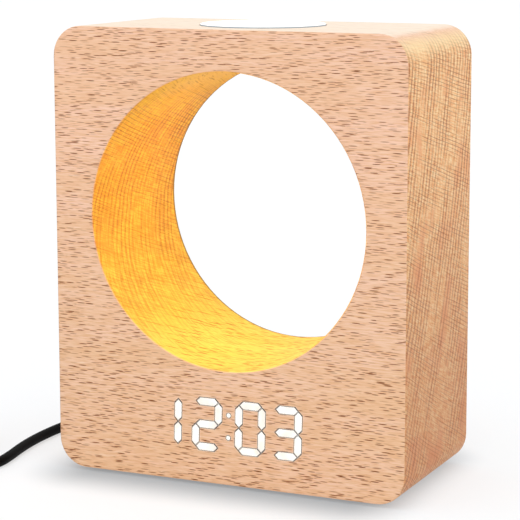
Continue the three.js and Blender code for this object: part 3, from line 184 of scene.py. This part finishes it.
class Finish:
    """A material made of nodes, with a short call for each kind of node that the finishes use.

    Places and sizes are in millimetres. A call takes numbers, colours or the sockets that other
    calls return.
    """

    def __init__(self, name, roughness, metallic=0.0, specular=0.5):
        self.material = bpy.data.materials.get(name) or bpy.data.materials.new(name)
        self.material.use_nodes = True
        self.nodes = self.material.node_tree.nodes
        self.links = self.material.node_tree.links
        self.nodes.clear()
        self.shader = self.nodes.new("ShaderNodeBsdfPrincipled")
        self.output = self.nodes.new("ShaderNodeOutputMaterial")
        self.links.new(self.shader.outputs["BSDF"], self.output.inputs["Surface"])
        self.shader.inputs["Roughness"].default_value = roughness
        self.shader.inputs["Metallic"].default_value = metallic
        self.shader.inputs["Specular IOR Level"].default_value = specular
        coordinates = self.nodes.new("ShaderNodeTexCoord")
        self.facing = coordinates.outputs["Normal"]
        self.place = self.vector("SCALE", coordinates.outputs["Object"], scale=1 / MM)

    def feed(self, socket, value):
        if isinstance(value, bpy.types.NodeSocket):
            self.links.new(value, socket)
        elif value is not None:
            socket.default_value = value

    def put(self, name, value):
        self.feed(self.shader.inputs[name], value)

    def math(self, operation, first, second=None, third=None):
        node = self.nodes.new("ShaderNodeMath")
        node.operation = operation
        for socket, value in zip(node.inputs, (first, second, third)):
            self.feed(socket, value)
        return node.outputs[0]

    def times(self, first, second):
        return self.math("MULTIPLY", first, second)

    def larger(self, first, second):
        return self.math("MAXIMUM", first, second)

    def vector(self, operation, first, second=None, scale=None):
        node = self.nodes.new("ShaderNodeVectorMath")
        node.operation = operation
        self.feed(node.inputs[0], first)
        self.feed(node.inputs[1], second)
        if scale is not None:
            node.inputs["Scale"].default_value = scale
        return node.outputs["Value" if operation in ("LENGTH", "DOT_PRODUCT") else "Vector"]

    def parts(self, vector):
        node = self.nodes.new("ShaderNodeSeparateXYZ")
        self.feed(node.inputs[0], vector)
        return node.outputs

    def join(self, x, y, z):
        node = self.nodes.new("ShaderNodeCombineXYZ")
        for socket, value in zip(node.inputs, (x, y, z)):
            self.feed(socket, value)
        return node.outputs[0]

    def noise(self, place, size, detail=2.0, roughness=0.5):
        """Smooth noise around 0.5, whose blobs are about `size` long on each axis."""
        node = self.nodes.new("ShaderNodeTexNoise")
        node.inputs["Scale"].default_value = 1
        node.inputs["Detail"].default_value = detail
        node.inputs["Roughness"].default_value = roughness
        self.feed(node.inputs["Vector"], self.vector("DIVIDE", place, size))
        return node.outputs[0]

    def cells(self, place, size):
        """Cells of that size: the way from each one's middle, in cells, and a colour by chance."""
        node = self.nodes.new("ShaderNodeTexVoronoi")
        node.inputs["Scale"].default_value = 1
        inside = self.vector("DIVIDE", place, size)
        self.feed(node.inputs["Vector"], inside)
        away = self.vector("SUBTRACT", inside, node.outputs["Position"])
        return away, node.outputs["Color"]

    def pattern(self, place, size, detail, low, high):
        """Noise drawn out to 0 below low and to 1 above high."""
        return self.step(self.noise(place, size, detail), low, high)

    def step(self, value, low, high):
        """0 below low and 1 above high, with a soft change between. High may be the lower one."""
        node = self.nodes.new("ShaderNodeMapRange")
        node.interpolation_type = "SMOOTHSTEP"
        start, end = (0, 1) if low < high else (1, 0)
        self.feed(node.inputs["Value"], value)
        for name, number in (
            ("From Min", min(low, high)), ("From Max", max(low, high)),
            ("To Min", start), ("To Max", end),
        ):
            node.inputs[name].default_value = number
        return node.outputs["Result"]

    def blend(self, share, first, second, mode="MIX"):
        node = self.nodes.new("ShaderNodeMix")
        node.data_type = "RGBA"
        node.blend_type = mode
        self.feed(node.inputs["Factor"], share)
        self.feed(node.inputs[MIX_FIRST_COLOUR], first)
        self.feed(node.inputs[MIX_SECOND_COLOUR], second)
        return node.outputs[MIX_RESULT_COLOUR]

    def tinted(self, colour, tint):
        return self.blend(1.0, colour, tint, "MULTIPLY")

    def between(self, share, first, second):
        """A number between two others."""
        node = self.nodes.new("ShaderNodeMapRange")
        self.feed(node.inputs["Value"], share)
        node.inputs["To Min"].default_value = first
        node.inputs["To Max"].default_value = second
        return node.outputs["Result"]

    def bump(self, height, depth):
        """A fine relief of that depth, in the shading alone."""
        node = self.nodes.new("ShaderNodeBump")
        node.inputs["Distance"].default_value = depth * MM
        self.feed(node.inputs["Height"], height)
        self.put("Normal", node.outputs["Normal"])

    def edges(self, radius):
        """Near 1 on the outer edges, 0 on flat ground."""
        bevel = self.nodes.new("ShaderNodeBevel")
        bevel.inputs["Radius"].default_value = radius * MM
        bevel.samples = BEVEL_SAMPLES
        geometry = self.nodes.new("ShaderNodeNewGeometry")
        alike = self.vector("DOT_PRODUCT", bevel.outputs["Normal"], geometry.outputs["Normal"])
        return self.step(alike, *EDGE_LIKENESS)


# Wood: the grain runs from side to side, and the rings lie round a pith far in front of the
# block. Sizes of noise are given along the grain, across the rings and across the rays.
PITH = (-410.0, 214.0)
PITH_REACH = 433.0  # from the pith to the block's middle
SLOW_SWAY = 1.0  # how far the grain sways, and over which lengths on x, y and z
SLOW_SWAY_SIZE = (130, 70, 30)
QUICK_SWAY = 0.16
QUICK_SWAY_SIZE = (45, 30, 8)

# The opening, whose wall the lamp lights, and whose colour also holds painted warm lamp light
BORE_RADIUS = 49
BORE_FRONT = -30
BORE_BACK = 30
opening = frame["record"]["physics"]["openings"][0]["box_m"]
BORE_HEIGHT = (opening[0][2] + opening[1][2]) / 2 / MM
GLOW_RADII = (BORE_RADIUS + 0.35, BORE_RADIUS + 0.15)
GLOW_FRONT = (BORE_FRONT + 0.2, BORE_FRONT + 0.7)
BELOW_HEIGHTS = (BORE_HEIGHT + 14, BORE_HEIGHT - 42)
ABOVE_HEIGHTS = (BORE_HEIGHT + 18, BORE_HEIGHT + 46)
# a painted shade line along the opening's rear rim, between these depths
FAR_RIM = (BORE_BACK - 1.7, BORE_BACK - 1.2)
# painted lamp light: the opening's wall is pulled to these warm colours and tints, by height
LAMP_GLOW_SHARE = 0.15
LAMP_GLOW_COLOURS = (srgb(236, 184, 132), srgb(240, 216, 136))  # higher up, lower down
LAMP_GLOW_TINTS = (srgb(238, 224, 97), srgb(252, 255, 156))  # higher up, lower down
TOP_LAMP_GLOW_TINT = srgb(255, 255, 24)
STREAKS = {"size": (12, 0.75, 4), "detail": 2, "low": 0.5, "high": 0.66}
SCORED_SHARE = 0.32
SCORED_COLOUR = srgb(110, 90, 16)
# painted shade: the dark line along the opening's rear rim
FAR_RIM_SHADE_SHARE = 0.75
FAR_RIM_SHADE_COLOUR = srgb(96, 84, 30)

# Long grain
BANDS = {"size": (80, 18, 7), "detail": 3, "roughness": 0.55}
BAND_LIMITS = (0.36, 0.66)
BAND_COLOURS = (srgb(247, 203, 177), srgb(242, 196, 160))
FIBRES = {"size": (6, 1.2, 0.38), "detail": 3, "roughness": 0.6}
FIBRE_LIMITS = (0.35, 0.68)
FIBRE_COLOUR = srgb(233, 182, 143)
PALE_FIBRES = {"size": (7, 2, 0.7), "detail": 2, "low": 0.6, "high": 0.8}
PALE_SHARE = 0.6
PALE_COLOUR = srgb(252, 218, 192)
FLECK_CELL = (4.6, 22.0, 1.15)
FLECK_HALF = (1.75, 11.0, 0.165)
FLECK_SHIFTS = ((0, 0, 0), (2.4, 9.0, 0.6))
FLECK_STRENGTHS = (0.15, 1.0)
FLECK_CORE = (1.0, 0.7)
FLECK_HALO = (1.6, 0.8)
FLECK_COLOUR = srgb(116, 54, 2)
HALO_SHARE = 0.3
HALO_COLOUR = srgb(204, 124, 56)
UPRIGHT_FACING = (0.8, 0.3)
FLECKS_ON_TOP = 0.45
# painted shade: the long grain darker towards the bottom, between these heights
LOWER_HEIGHTS = (130.0, 20.0)
LOWER_SHADE_TINT = srgb(247, 248, 241)
# painted highlight: the upward faces paler, as the light falls on them
TOP_FACING = (0.85, 0.99)
TOP_HIGHLIGHT_SHARE = 0.65
TOP_HIGHLIGHT_COLOUR = srgb(255, 243, 222)

# End grain
END_FACING = (0.35, 0.9)
FINE_RINGS = {"size": (60, 0.6, 3.5), "detail": 1, "low": 0.34, "high": 0.66}
FINE_RAYS = {"size": (60, 5, 0.38), "detail": 1, "low": 0.34, "high": 0.66}
WEAVE_COLOURS = (srgb(236, 164, 102), srgb(255, 206, 144))
DOT_SHARE = 0.6
DOT_COLOUR = srgb(255, 236, 190)
PATCHES = {"size": (60, 14, 24), "detail": 2, "low": 0.5, "high": 0.75}
PATCH_COLOUR = srgb(240, 168, 114)
RINGS = {"pitch": 2.7, "drift": 1.0, "size": (60, 9, 14), "detail": 2, "width": (0.34, 0.06)}
RINGS_SHOWN = {"size": (90, 9, 30), "detail": 1, "low": 0.3, "high": 0.62}
RINGS_AT_RAYS = 0.6
RING_COLOUR = srgb(168, 92, 40)
RAYS = {"pitch": 1.25, "drift": 2.0, "size": (60, 60, 11), "detail": 1, "width": (0.18, 0.03)}
RAYS_SHOWN = {"size": (60, 30, 5), "detail": 2, "low": 0.34, "high": 0.64}
RAYS_AT_RINGS = 0.5
RAY_COLOUR = srgb(150, 78, 32)
# painted shade: the end grain darker towards the bottom between these heights, which also set how
# strongly its lines show
END_HEIGHTS = (140.0, 10.0)
END_LOWER_SHADE_TINT = srgb(218, 202, 196)
LINE_SHARES = (0.9, 0.6)
# painted highlight: the end grain paler where its edge turns up to the top
EASED_FACING = (0.05, 0.7)
EASED_HIGHLIGHT_SHARE = 0.6
EASED_HIGHLIGHT_COLOUR = srgb(255, 230, 178)

# The whole block
# painted highlight along the block's outer edges; the share also sets the real wear on the
# plastics' moulded edges
EDGE_HIGHLIGHT_RADIUS = 0.7
EDGE_WEAR_AND_HIGHLIGHT_SHARE = 0.5
EDGE_HIGHLIGHT_COLOUR = srgb(255, 236, 214)
WOOD_SHEEN = {"roughness": 0.5, "specular": 0.2}
COAT_WEIGHT = 0.1
COAT_ROUGHNESS = 0.3
WORN_ROUGHNESS = (0.42, 0.62)
RELIEF = 0.02


class Beech(Finish):
    """The block's wood: flecked long grain, woven end grain and painted warm lamp light on the
    opening's wall.
    """

    def __init__(self):
        super().__init__("wood", **WOOD_SHEEN)
        self.put("Coat Roughness", COAT_ROUGHNESS)
        self.aside, self.deep, self.high = self.parts(self.place)[:3]
        self.grain = self.grain_place()
        self.across_rings, self.across_rays = self.parts(self.grain)[1:3]
        self.up_facing = self.parts(self.facing)[2]
        self.bands = self.noise(self.grain, **BANDS)
        self.fibres = self.noise(self.grain, **FIBRES)
        self.glow = self.opening_wall()
        self.below = self.step(self.high, *BELOW_HEIGHTS)
        # the lower part of the opening's wall, which gets the palest painted lamp light
        self.lamp_lit_floor = self.times(self.glow, self.below)
        self.fleck, self.halo = self.flecks()
        self.weave, self.ring_line, self.ray_line, self.dots = self.woven_lines()
        self.dress()

    def grain_place(self):
        """The place along the grain, across the rings and across the rays."""
        slow = self.noise(self.place, SLOW_SWAY_SIZE, detail=1)
        quick = self.noise(self.place, QUICK_SWAY_SIZE, detail=1)
        slow_sway = self.between(slow, -SLOW_SWAY, SLOW_SWAY)
        sway = self.math("ADD", slow_sway, self.between(quick, -QUICK_SWAY, QUICK_SWAY))
        forward = self.math("SUBTRACT", self.deep, PITH[0])
        upward = self.math("SUBTRACT", self.high, PITH[1])
        from_pith = self.vector("LENGTH", self.join(0.0, forward, upward))
        turned = self.math("ARCTAN2", upward, forward)
        across_rings = self.math("ADD", from_pith, sway)
        across_rays = self.math("ADD", self.times(turned, PITH_REACH), sway)
        return self.join(self.aside, across_rings, across_rays)

    def opening_wall(self):
        """1 on the opening's wall, where lamp light is painted, 0 elsewhere."""
        above_axis = self.math("SUBTRACT", self.high, BORE_HEIGHT)
        from_axis = self.vector("LENGTH", self.join(self.aside, 0.0, above_axis))
        return self.times(self.step(from_axis, *GLOW_RADII), self.step(self.deep, *GLOW_FRONT))

    def fleck_set(self, shift):
        """Short dark rays, each in its own cell, some darker than others, and their soft halos."""
        away, chance = self.cells(self.vector("ADD", self.grain, shift), FLECK_CELL)
        reach = [cell / half for cell, half in zip(FLECK_CELL, FLECK_HALF)]
        distance = self.vector("LENGTH", self.vector("MULTIPLY", away, reach))
        strength = self.between(self.parts(chance)[0], *FLECK_STRENGTHS)
        core = self.times(self.step(distance, *FLECK_CORE), strength)
        halo = self.times(self.step(distance, *FLECK_HALO), strength)
        return core, halo

    def flecks(self):
        """Both sets of flecks and of halos, fainter on the top and in the upper opening."""
        sets = [self.fleck_set(shift) for shift in FLECK_SHIFTS]
        upright = self.step(self.math("ABSOLUTE", self.up_facing), *UPRIGHT_FACING)
        shown = self.between(self.larger(upright, self.lamp_lit_floor), FLECKS_ON_TOP, 1.0)
        return [self.times(self.larger(*pair), shown) for pair in zip(*sets)]

    def lines(self, across, pitch, drift, size, detail, width):
        """Thin lines that far apart, which wander a little."""
        wander = self.noise(self.grain, size, detail)
        place = self.math("MULTIPLY_ADD", wander, drift, self.math("DIVIDE", across, pitch))
        return self.step(self.math("PINGPONG", place, 0.5), *width)

    def woven_lines(self):
        """The end grain's fine weave, its rings, its rays and the light dots between them."""
        fine_rings = self.pattern(self.grain, **FINE_RINGS)
        fine_rays = self.pattern(self.grain, **FINE_RAYS)
        weave = self.times(self.math("ADD", fine_rings, fine_rays), 0.5)
        dots = self.times(fine_rings, fine_rays)
        rings_shown = self.times(
            self.pattern(self.grain, **RINGS_SHOWN), self.between(fine_rays, 1.0, RINGS_AT_RAYS)
        )
        rays_shown = self.times(
            self.pattern(self.grain, **RAYS_SHOWN), self.between(fine_rings, 1.0, RAYS_AT_RINGS)
        )
        ring_line = self.times(self.lines(self.across_rings, **RINGS), rings_shown)
        ray_line = self.times(self.lines(self.across_rays, **RAYS), rays_shown)
        return weave, ring_line, ray_line, dots

    def faded_in_opening(self, mask, share):
        """That share of a mask, and none of it on the opening's wall."""
        return self.times(mask, self.between(self.glow, share, 0.0))

    def long_grain(self):
        """Broad bands, fine fibres and dark flecks, painted shade lower down, and a painted
        highlight on the top.
        """
        colour = self.blend(self.step(self.bands, *BAND_LIMITS), *BAND_COLOURS)
        colour = self.blend(self.step(self.fibres, *FIBRE_LIMITS), colour, FIBRE_COLOUR)
        pale = self.pattern(self.grain, **PALE_FIBRES)
        colour = self.blend(self.times(pale, PALE_SHARE), colour, PALE_COLOUR)
        # painted shade towards the bottom
        lower = self.step(self.high, *LOWER_HEIGHTS)
        colour = self.blend(lower, colour, self.tinted(colour, LOWER_SHADE_TINT))
        colour = self.blend(self.times(self.halo, HALO_SHARE), colour, HALO_COLOUR)
        colour = self.blend(self.fleck, colour, FLECK_COLOUR)
        # painted highlight on the top faces, left off the opening's wall
        top = self.step(self.up_facing, *TOP_FACING)
        top_highlight = self.faded_in_opening(top, TOP_HIGHLIGHT_SHARE)
        return self.blend(top_highlight, colour, TOP_HIGHLIGHT_COLOUR)

    def end_grain(self):
        """Rings and rays that cross like a weave, painted shade lower down, and a painted highlight
        where the edge turns up.
        """
        colour = self.blend(self.weave, *WEAVE_COLOURS)
        colour = self.blend(self.times(self.dots, DOT_SHARE), colour, DOT_COLOUR)
        colour = self.blend(self.pattern(self.grain, **PATCHES), colour, PATCH_COLOUR)
        lower = self.step(self.high, *END_HEIGHTS)
        share = self.between(lower, *LINE_SHARES)
        colour = self.blend(self.times(self.ring_line, share), colour, RING_COLOUR)
        colour = self.blend(self.times(self.ray_line, share), colour, RAY_COLOUR)
        # painted highlight where the edge turns up
        turned_up = self.step(self.up_facing, *EASED_FACING)
        eased_highlight = self.faded_in_opening(turned_up, EASED_HIGHLIGHT_SHARE)
        colour = self.blend(eased_highlight, colour, EASED_HIGHLIGHT_COLOUR)
        # painted shade towards the bottom
        return self.blend(lower, colour, self.tinted(colour, END_LOWER_SHADE_TINT))

    def painted_lamp_light(self, colour):
        """The wood, with painted warm lamp light on the opening's wall, scored low down, and a
        painted shade line at its rear rim.
        """
        # painted lamp light: a warm tint over the wall, paler lower down and yellow near the top
        lamp_tint = self.blend(self.below, *LAMP_GLOW_TINTS)
        above = self.step(self.high, *ABOVE_HEIGHTS)
        lamp_tint = self.blend(above, lamp_tint, TOP_LAMP_GLOW_TINT)
        lamp_glow = self.blend(self.below, *LAMP_GLOW_COLOURS)
        wall = self.tinted(self.blend(LAMP_GLOW_SHARE, colour, lamp_glow), lamp_tint)
        streaks = self.pattern(self.grain, **STREAKS)
        scored = self.times(self.larger(self.fleck, streaks), self.lamp_lit_floor)
        wall = self.blend(self.times(scored, SCORED_SHARE), wall, SCORED_COLOUR)
        colour = self.blend(self.glow, colour, wall)
        # painted shade: a dark line along the opening's rear rim
        far_rim_shade = self.times(self.glow, self.step(self.deep, *FAR_RIM))
        return self.blend(self.times(far_rim_shade, FAR_RIM_SHADE_SHARE), colour, FAR_RIM_SHADE_COLOUR)

    def dress(self):
        """Feeds the colour, the relief and the sheen to the shader."""
        end_facing = self.step(self.math("ABSOLUTE", self.parts(self.facing)[0]), *END_FACING)
        colour = self.blend(end_facing, self.long_grain(), self.end_grain())
        # painted highlight along the outer edges
        edge_highlight = self.times(self.edges(EDGE_HIGHLIGHT_RADIUS), EDGE_WEAR_AND_HIGHLIGHT_SHARE)
        colour = self.blend(edge_highlight, colour, EDGE_HIGHLIGHT_COLOUR)
        self.put("Base Color", self.painted_lamp_light(colour))
        fibre_height = self.math("SUBTRACT", self.times(self.fibres, 0.5), self.fleck)
        weave_height = self.math("SUBTRACT", self.weave, self.ring_line)
        self.bump(self.math("ADD", fibre_height, self.times(weave_height, end_facing)), RELIEF)
        worn = self.between(self.math("ADD", self.fleck, self.bands), *WORN_ROUGHNESS)
        self.put("Roughness", worn)
        bare = self.larger(self.fleck, self.glow)
        self.put("Coat Weight", self.between(bare, COAT_WEIGHT, 0.0))


# Plastics, metals and boards: values that all of one kind share
CLOUD_PER_SKIN = 30
SKIN_LIMITS = (0.35, 0.65)
MOULDED_EDGE = 0.25
ROUGHNESS_SWING = 0.08
MILK_COLOUR = srgb(255, 253, 248)
MILK_CLOUD = (6, 6, 6)
MILK_SKIN = (0.6, 0.6, 0.6)
MILK_LIMITS = (0.3, 0.7)
MILK_ROUGHNESS = 0.35
MILK_RELIEF = 0.01
# facing limits of the lit plastics' sides, which get painted shade
SHADED_SIDE_FACING = (0.8, 0.4)
TRACK_SIZE = (1.6, 1.6, 6)
TRACK_COUNT = 9
TRACK_LIMITS = (0.36, 0.44)
BOARD_COLOURS = (srgb(22, 92, 52), srgb(46, 128, 74))
BOARD_ROUGHNESS = (0.3, 0.5)
BOARD_RELIEF = 0.02
SCRATCH_SIZE = (0.15, 6, 0.15)
SCRATCH_SWING = (-0.08, 0.12)
SCRATCH_RELIEF = 0.003
SMUDGE_SIZE = (3, 3, 3)
SMUDGE_LIMITS = (0.2, 0.8)


def speckled(name, dark, light, roughness, size=0.5, depth=0.02, specular=0.5):
    """Moulded plastic or rubber: a fine skin, cloudy colour and rubbed edges."""
    finish = Finish(name, roughness, specular=specular)
    skin = finish.noise(finish.place, (size,) * 3, detail=3, roughness=0.6)
    cloud = finish.noise(finish.place, (size * CLOUD_PER_SKIN,) * 3, detail=2)
    share = finish.math("ADD", finish.times(skin, 0.5), finish.times(cloud, 0.5))
    colour = finish.blend(finish.step(share, *SKIN_LIMITS), dark, light)
    edge = finish.times(finish.edges(MOULDED_EDGE), EDGE_WEAR_AND_HIGHLIGHT_SHARE)
    finish.put("Base Color", finish.blend(edge, colour, light))
    duller = finish.between(cloud, roughness - ROUGHNESS_SWING, roughness + ROUGHNESS_SWING)
    finish.put("Roughness", duller)
    finish.bump(skin, depth)
    return finish


def glowing(name, base, light, strength, rim_shade, rim_shade_width, axis):
    """A milky lit plastic that faces along one axis, with a painted shade line along its rim and
    painted shade on its unlit sides.
    """
    finish = Finish(name, roughness=MILK_ROUGHNESS)
    cloud = finish.noise(finish.place, MILK_CLOUD, detail=2)
    skin = finish.noise(finish.place, MILK_SKIN, detail=2)
    facing = finish.math("ABSOLUTE", finish.parts(finish.facing)[axis])
    # painted shade: a dark unlit line along the rim and on the sides
    edge = finish.larger(finish.edges(rim_shade_width), finish.step(facing, *SHADED_SIDE_FACING))
    milk = finish.blend(finish.step(cloud, *MILK_LIMITS), base, MILK_COLOUR)
    finish.put("Base Color", finish.blend(edge, milk, rim_shade))
    finish.put("Emission Color", light)
    finish.put("Emission Strength", finish.between(edge, strength, 0.0))
    finish.bump(skin, MILK_RELIEF)


def circuit_board():
    """Green lacquer over wandering copper tracks."""
    finish = Finish("circuit_board", roughness=0.4)
    tracks = finish.noise(finish.place, TRACK_SIZE, detail=1)
    copper = finish.math("PINGPONG", finish.times(tracks, TRACK_COUNT), 0.5)
    finish.put("Base Color", finish.blend(finish.step(copper, *TRACK_LIMITS), *BOARD_COLOURS))
    finish.put("Roughness", finish.between(tracks, *BOARD_ROUGHNESS))
    finish.bump(copper, BOARD_RELIEF)


def brushed(name, dark, light, roughness):
    """Metal with fine straight scratches."""
    finish = Finish(name, roughness, metallic=1.0)
    scratches = finish.noise(finish.place, SCRATCH_SIZE, detail=3)
    smudge = finish.noise(finish.place, SMUDGE_SIZE, detail=2)
    finish.put("Base Color", finish.blend(finish.step(smudge, *SMUDGE_LIMITS), dark, light))
    duller = finish.between(scratches, *[roughness + swing for swing in SCRATCH_SWING])
    finish.put("Roughness", duller)
    finish.bump(scratches, SCRATCH_RELIEF)


Beech()
glowing(
    "lamp_shade", base=srgb(250, 248, 240), light=srgb(255, 252, 244), strength=0.6,
    rim_shade=srgb(170, 182, 192), rim_shade_width=0.6, axis=2,
)
glowing(
    "lit_figures", base=srgb(240, 232, 220), light=srgb(255, 246, 232), strength=0.14,
    rim_shade=srgb(92, 84, 80), rim_shade_width=0.42, axis=1,
)
speckled("light_guide", srgb(225, 228, 230), srgb(245, 247, 248), 0.3, size=0.8)
speckled("white_plastic", srgb(222, 222, 216), srgb(240, 240, 236), 0.45)
speckled("dark_plastic", srgb(40, 38, 37), srgb(54, 51, 49), 0.55, size=0.35, depth=0.05)
speckled("black_plastic", srgb(20, 20, 21), srgb(31, 31, 33), 0.45, size=0.3, depth=0.03)
circuit_board()
brushed("steel", srgb(182, 184, 186), srgb(198, 199, 200), 0.32)
brushed("copper", srgb(184, 118, 82), srgb(214, 148, 106), 0.35)
speckled("rubber", srgb(28, 28, 28), srgb(44, 44, 43), 0.8, size=0.4, depth=0.06)
jacket = speckled("cord_jacket", srgb(3, 3, 3), srgb(8, 8, 8), 0.6, size=0.6, specular=0.06)
speckled("lead_jacket", srgb(196, 34, 30), srgb(222, 52, 44), 0.45)
cord.data.materials.append(jacket.material)

# Smooth shading on round faces, by modifiers alone
WELD_DISTANCE = 1e-6
SMOOTH_ANGLE = math.radians(50)
LARGE_FACES_LEAD = 100  # a vertex's shading follows its largest face


def smooth_group():
    group = bpy.data.node_groups.new("smooth_shading", "GeometryNodeTree")
    group.interface.new_socket("Geometry", in_out="INPUT", socket_type="NodeSocketGeometry")
    group.interface.new_socket("Geometry", in_out="OUTPUT", socket_type="NodeSocketGeometry")
    start = group.nodes.new("NodeGroupInput")
    weld = group.nodes.new("GeometryNodeMergeByDistance")
    weld.inputs["Distance"].default_value = WELD_DISTANCE
    angle = group.nodes.new("GeometryNodeInputMeshEdgeAngle")
    sharp = group.nodes.new("FunctionNodeCompare")
    sharp.operation = "GREATER_THAN"
    sharp.inputs[1].default_value = SMOOTH_ANGLE
    shade = group.nodes.new("GeometryNodeSetMeshNormal")
    shade.mode = "SHARPNESS"
    shade.inputs["Remove Custom"].default_value = True
    end = group.nodes.new("NodeGroupOutput")
    group.links.new(start.outputs[0], weld.inputs[0])
    group.links.new(weld.outputs[0], shade.inputs["Mesh"])
    group.links.new(angle.outputs[0], sharp.inputs[0])
    group.links.new(sharp.outputs[0], shade.inputs["Edge Sharpness"])
    group.links.new(shade.outputs[0], end.inputs[0])
    return group


smoothing = smooth_group()
for node in nodes.values():
    node.modifiers.new("smooth_shading", "NODES").node_group = smoothing
    weighted = node.modifiers.new("weighted_normals", "WEIGHTED_NORMAL")
    weighted.keep_sharp = True
    weighted.weight = LARGE_FACES_LEAD

# Light, floor and background
WHITE = (1, 1, 1, 1)
SKY = (0.91, 0.955, 1.0, 1)
SKY_STRENGTH = 0.8
KEY_TURN = (math.radians(16), math.radians(4), 0)
KEY_STRENGTH = 0.8
KEY_SPREAD = math.radians(60)
KEY_COLOUR = (1.0, 0.975, 0.93)
FILL_TURN = (math.radians(62), 0, math.radians(38))
FILL_STRENGTH = 0.5
FILL_SPREAD = math.radians(110)
FILL_COLOUR = (1.0, 0.98, 0.94)
FLOOR_REACH = 4.0
FLOOR_CLOUD = (400, 400, 400)
FLOOR_COLOURS = (srgb(250, 252, 255), srgb(252, 253, 255))
FLOOR_OWN_LIGHT = 0.6  # the share of its white that the background keeps in shadow
# painted shadow: a soft grey shade painted on the floor round the block's foot
SHADE_MIDDLE = (-3, 0)  # the soft shade round the block's foot, in millimetres
SHADE_HALF = (47, 30)
SHADE_REACH = (27, -2)
FOOT_SHADOW_TONE = srgb(184, 188, 191)
LAMP_COLOUR = (1.0, 0.77, 0.18)
LAMP_POWER = 0.069
LAMP_SPREAD = math.radians(150)
LAMP_SIZE = 0.027
LAMP_GAP = MM  # below the lower diffuser


def background_rays(tree):
    """1 for the rays that show the background itself: seen, mirrored or through glass."""
    rays = tree.nodes.new("ShaderNodeLightPath")
    seen = rays.outputs["Is Camera Ray"]
    for name in ("Is Glossy Ray", "Is Transmission Ray"):
        larger = tree.nodes.new("ShaderNodeMath")
        larger.operation = "MAXIMUM"
        tree.links.new(seen, larger.inputs[0])
        tree.links.new(rays.outputs[name], larger.inputs[1])
        seen = larger.outputs[0]
    return seen


def make_world():
    world = bpy.data.worlds.new("studio")
    world.use_nodes = True
    tree = world.node_tree
    tree.nodes.clear()
    sky = tree.nodes.new("ShaderNodeBackground")
    sky.inputs["Color"].default_value = SKY
    sky.inputs["Strength"].default_value = SKY_STRENGTH
    white = tree.nodes.new("ShaderNodeBackground")
    white.inputs["Color"].default_value = WHITE
    mix = tree.nodes.new("ShaderNodeMixShader")
    output = tree.nodes.new("ShaderNodeOutputWorld")
    tree.links.new(background_rays(tree), mix.inputs["Fac"])
    tree.links.new(sky.outputs[0], mix.inputs[1])
    tree.links.new(white.outputs[0], mix.inputs[2])
    tree.links.new(mix.outputs[0], output.inputs["Surface"])
    bpy.context.scene.world = world


def painted_foot_shadow(finish):
    """The floor's painted shadow: grey close to the block's foot and white further off."""
    past = []
    for value, middle, half in zip(finish.parts(finish.place), SHADE_MIDDLE, SHADE_HALF):
        off = finish.math("ABSOLUTE", finish.math("SUBTRACT", value, middle))
        past.append(finish.larger(finish.math("SUBTRACT", off, half), 0.0))
    away = finish.vector("LENGTH", finish.join(*past, 0.0))
    return finish.blend(finish.step(away, *SHADE_REACH), WHITE, FOOT_SHADOW_TONE)


def floor_finish():
    """A white floor. Background rays see its painted shadow round the block's foot, and some of its
    white even in real shadow.
    """
    finish = Finish("floor", roughness=0.9, specular=0.1)
    base = finish.blend(finish.noise(finish.place, FLOOR_CLOUD), *FLOOR_COLOURS)
    # painted shadow: both the seen colour and the floor's own white are greyed round the block's
    # foot
    painted_shadow = painted_foot_shadow(finish)
    seen = background_rays(finish.material.node_tree)
    finish.put("Base Color", finish.blend(seen, base, finish.tinted(base, painted_shadow)))
    white = finish.nodes.new("ShaderNodeEmission")
    finish.feed(white.inputs["Color"], painted_shadow)
    mix = finish.nodes.new("ShaderNodeMixShader")
    finish.feed(mix.inputs["Fac"], finish.times(seen, FLOOR_OWN_LIGHT))
    finish.feed(mix.inputs[1], finish.shader.outputs["BSDF"])
    finish.feed(mix.inputs[2], white.outputs["Emission"])
    finish.feed(finish.output.inputs["Surface"], mix.outputs["Shader"])
    return finish


def make_floor():
    reach = FLOOR_REACH
    corners = [(-reach, -reach, 0), (reach, -reach, 0), (reach, reach, 0), (-reach, reach, 0)]
    mesh = bpy.data.meshes.new("floor")
    mesh.from_pydata(corners, [], [(0, 1, 2, 3)])
    floor = bpy.data.objects.new("floor", mesh)
    bpy.context.scene.collection.objects.link(floor)
    mesh.materials.append(floor_finish().material)
    return floor


def make_sun(name, strength, spread, turn, colour):
    light = bpy.data.lights.new(name, "SUN")
    light.energy = strength
    light.angle = spread
    light.color = colour
    sun = bpy.data.objects.new(name, light)
    sun.rotation_euler = turn
    bpy.context.scene.collection.objects.link(sun)


def make_opening_lamp(floor):
    """The lamp's light into the opening. It leaves the floor alone, which is white anyway."""
    disk = bpy.data.lights.new("opening_lamp", "AREA")
    disk.shape = "DISK"
    disk.size = LAMP_SIZE
    disk.energy = LAMP_POWER
    disk.color = LAMP_COLOUR
    disk.spread = LAMP_SPREAD
    lamp = bpy.data.objects.new("opening_lamp", disk)
    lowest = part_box("lower_diffuser")[0]
    lamp.location = (0, 0, lowest.z - LAMP_GAP)
    bpy.context.scene.collection.objects.link(lamp)
    unlit = bpy.data.collections.new("unlit_by_lamp")
    unlit.objects.link(floor)
    lamp.light_linking.receiver_collection = unlit
    unlit.collection_objects[0].light_linking.link_state = "EXCLUDE"


make_world()
make_sun("key", KEY_STRENGTH, KEY_SPREAD, KEY_TURN, KEY_COLOUR)
make_sun("fill", FILL_STRENGTH, FILL_SPREAD, FILL_TURN, FILL_COLOUR)
make_opening_lamp(make_floor())
bpy.context.scene.view_settings.view_transform = "Standard"
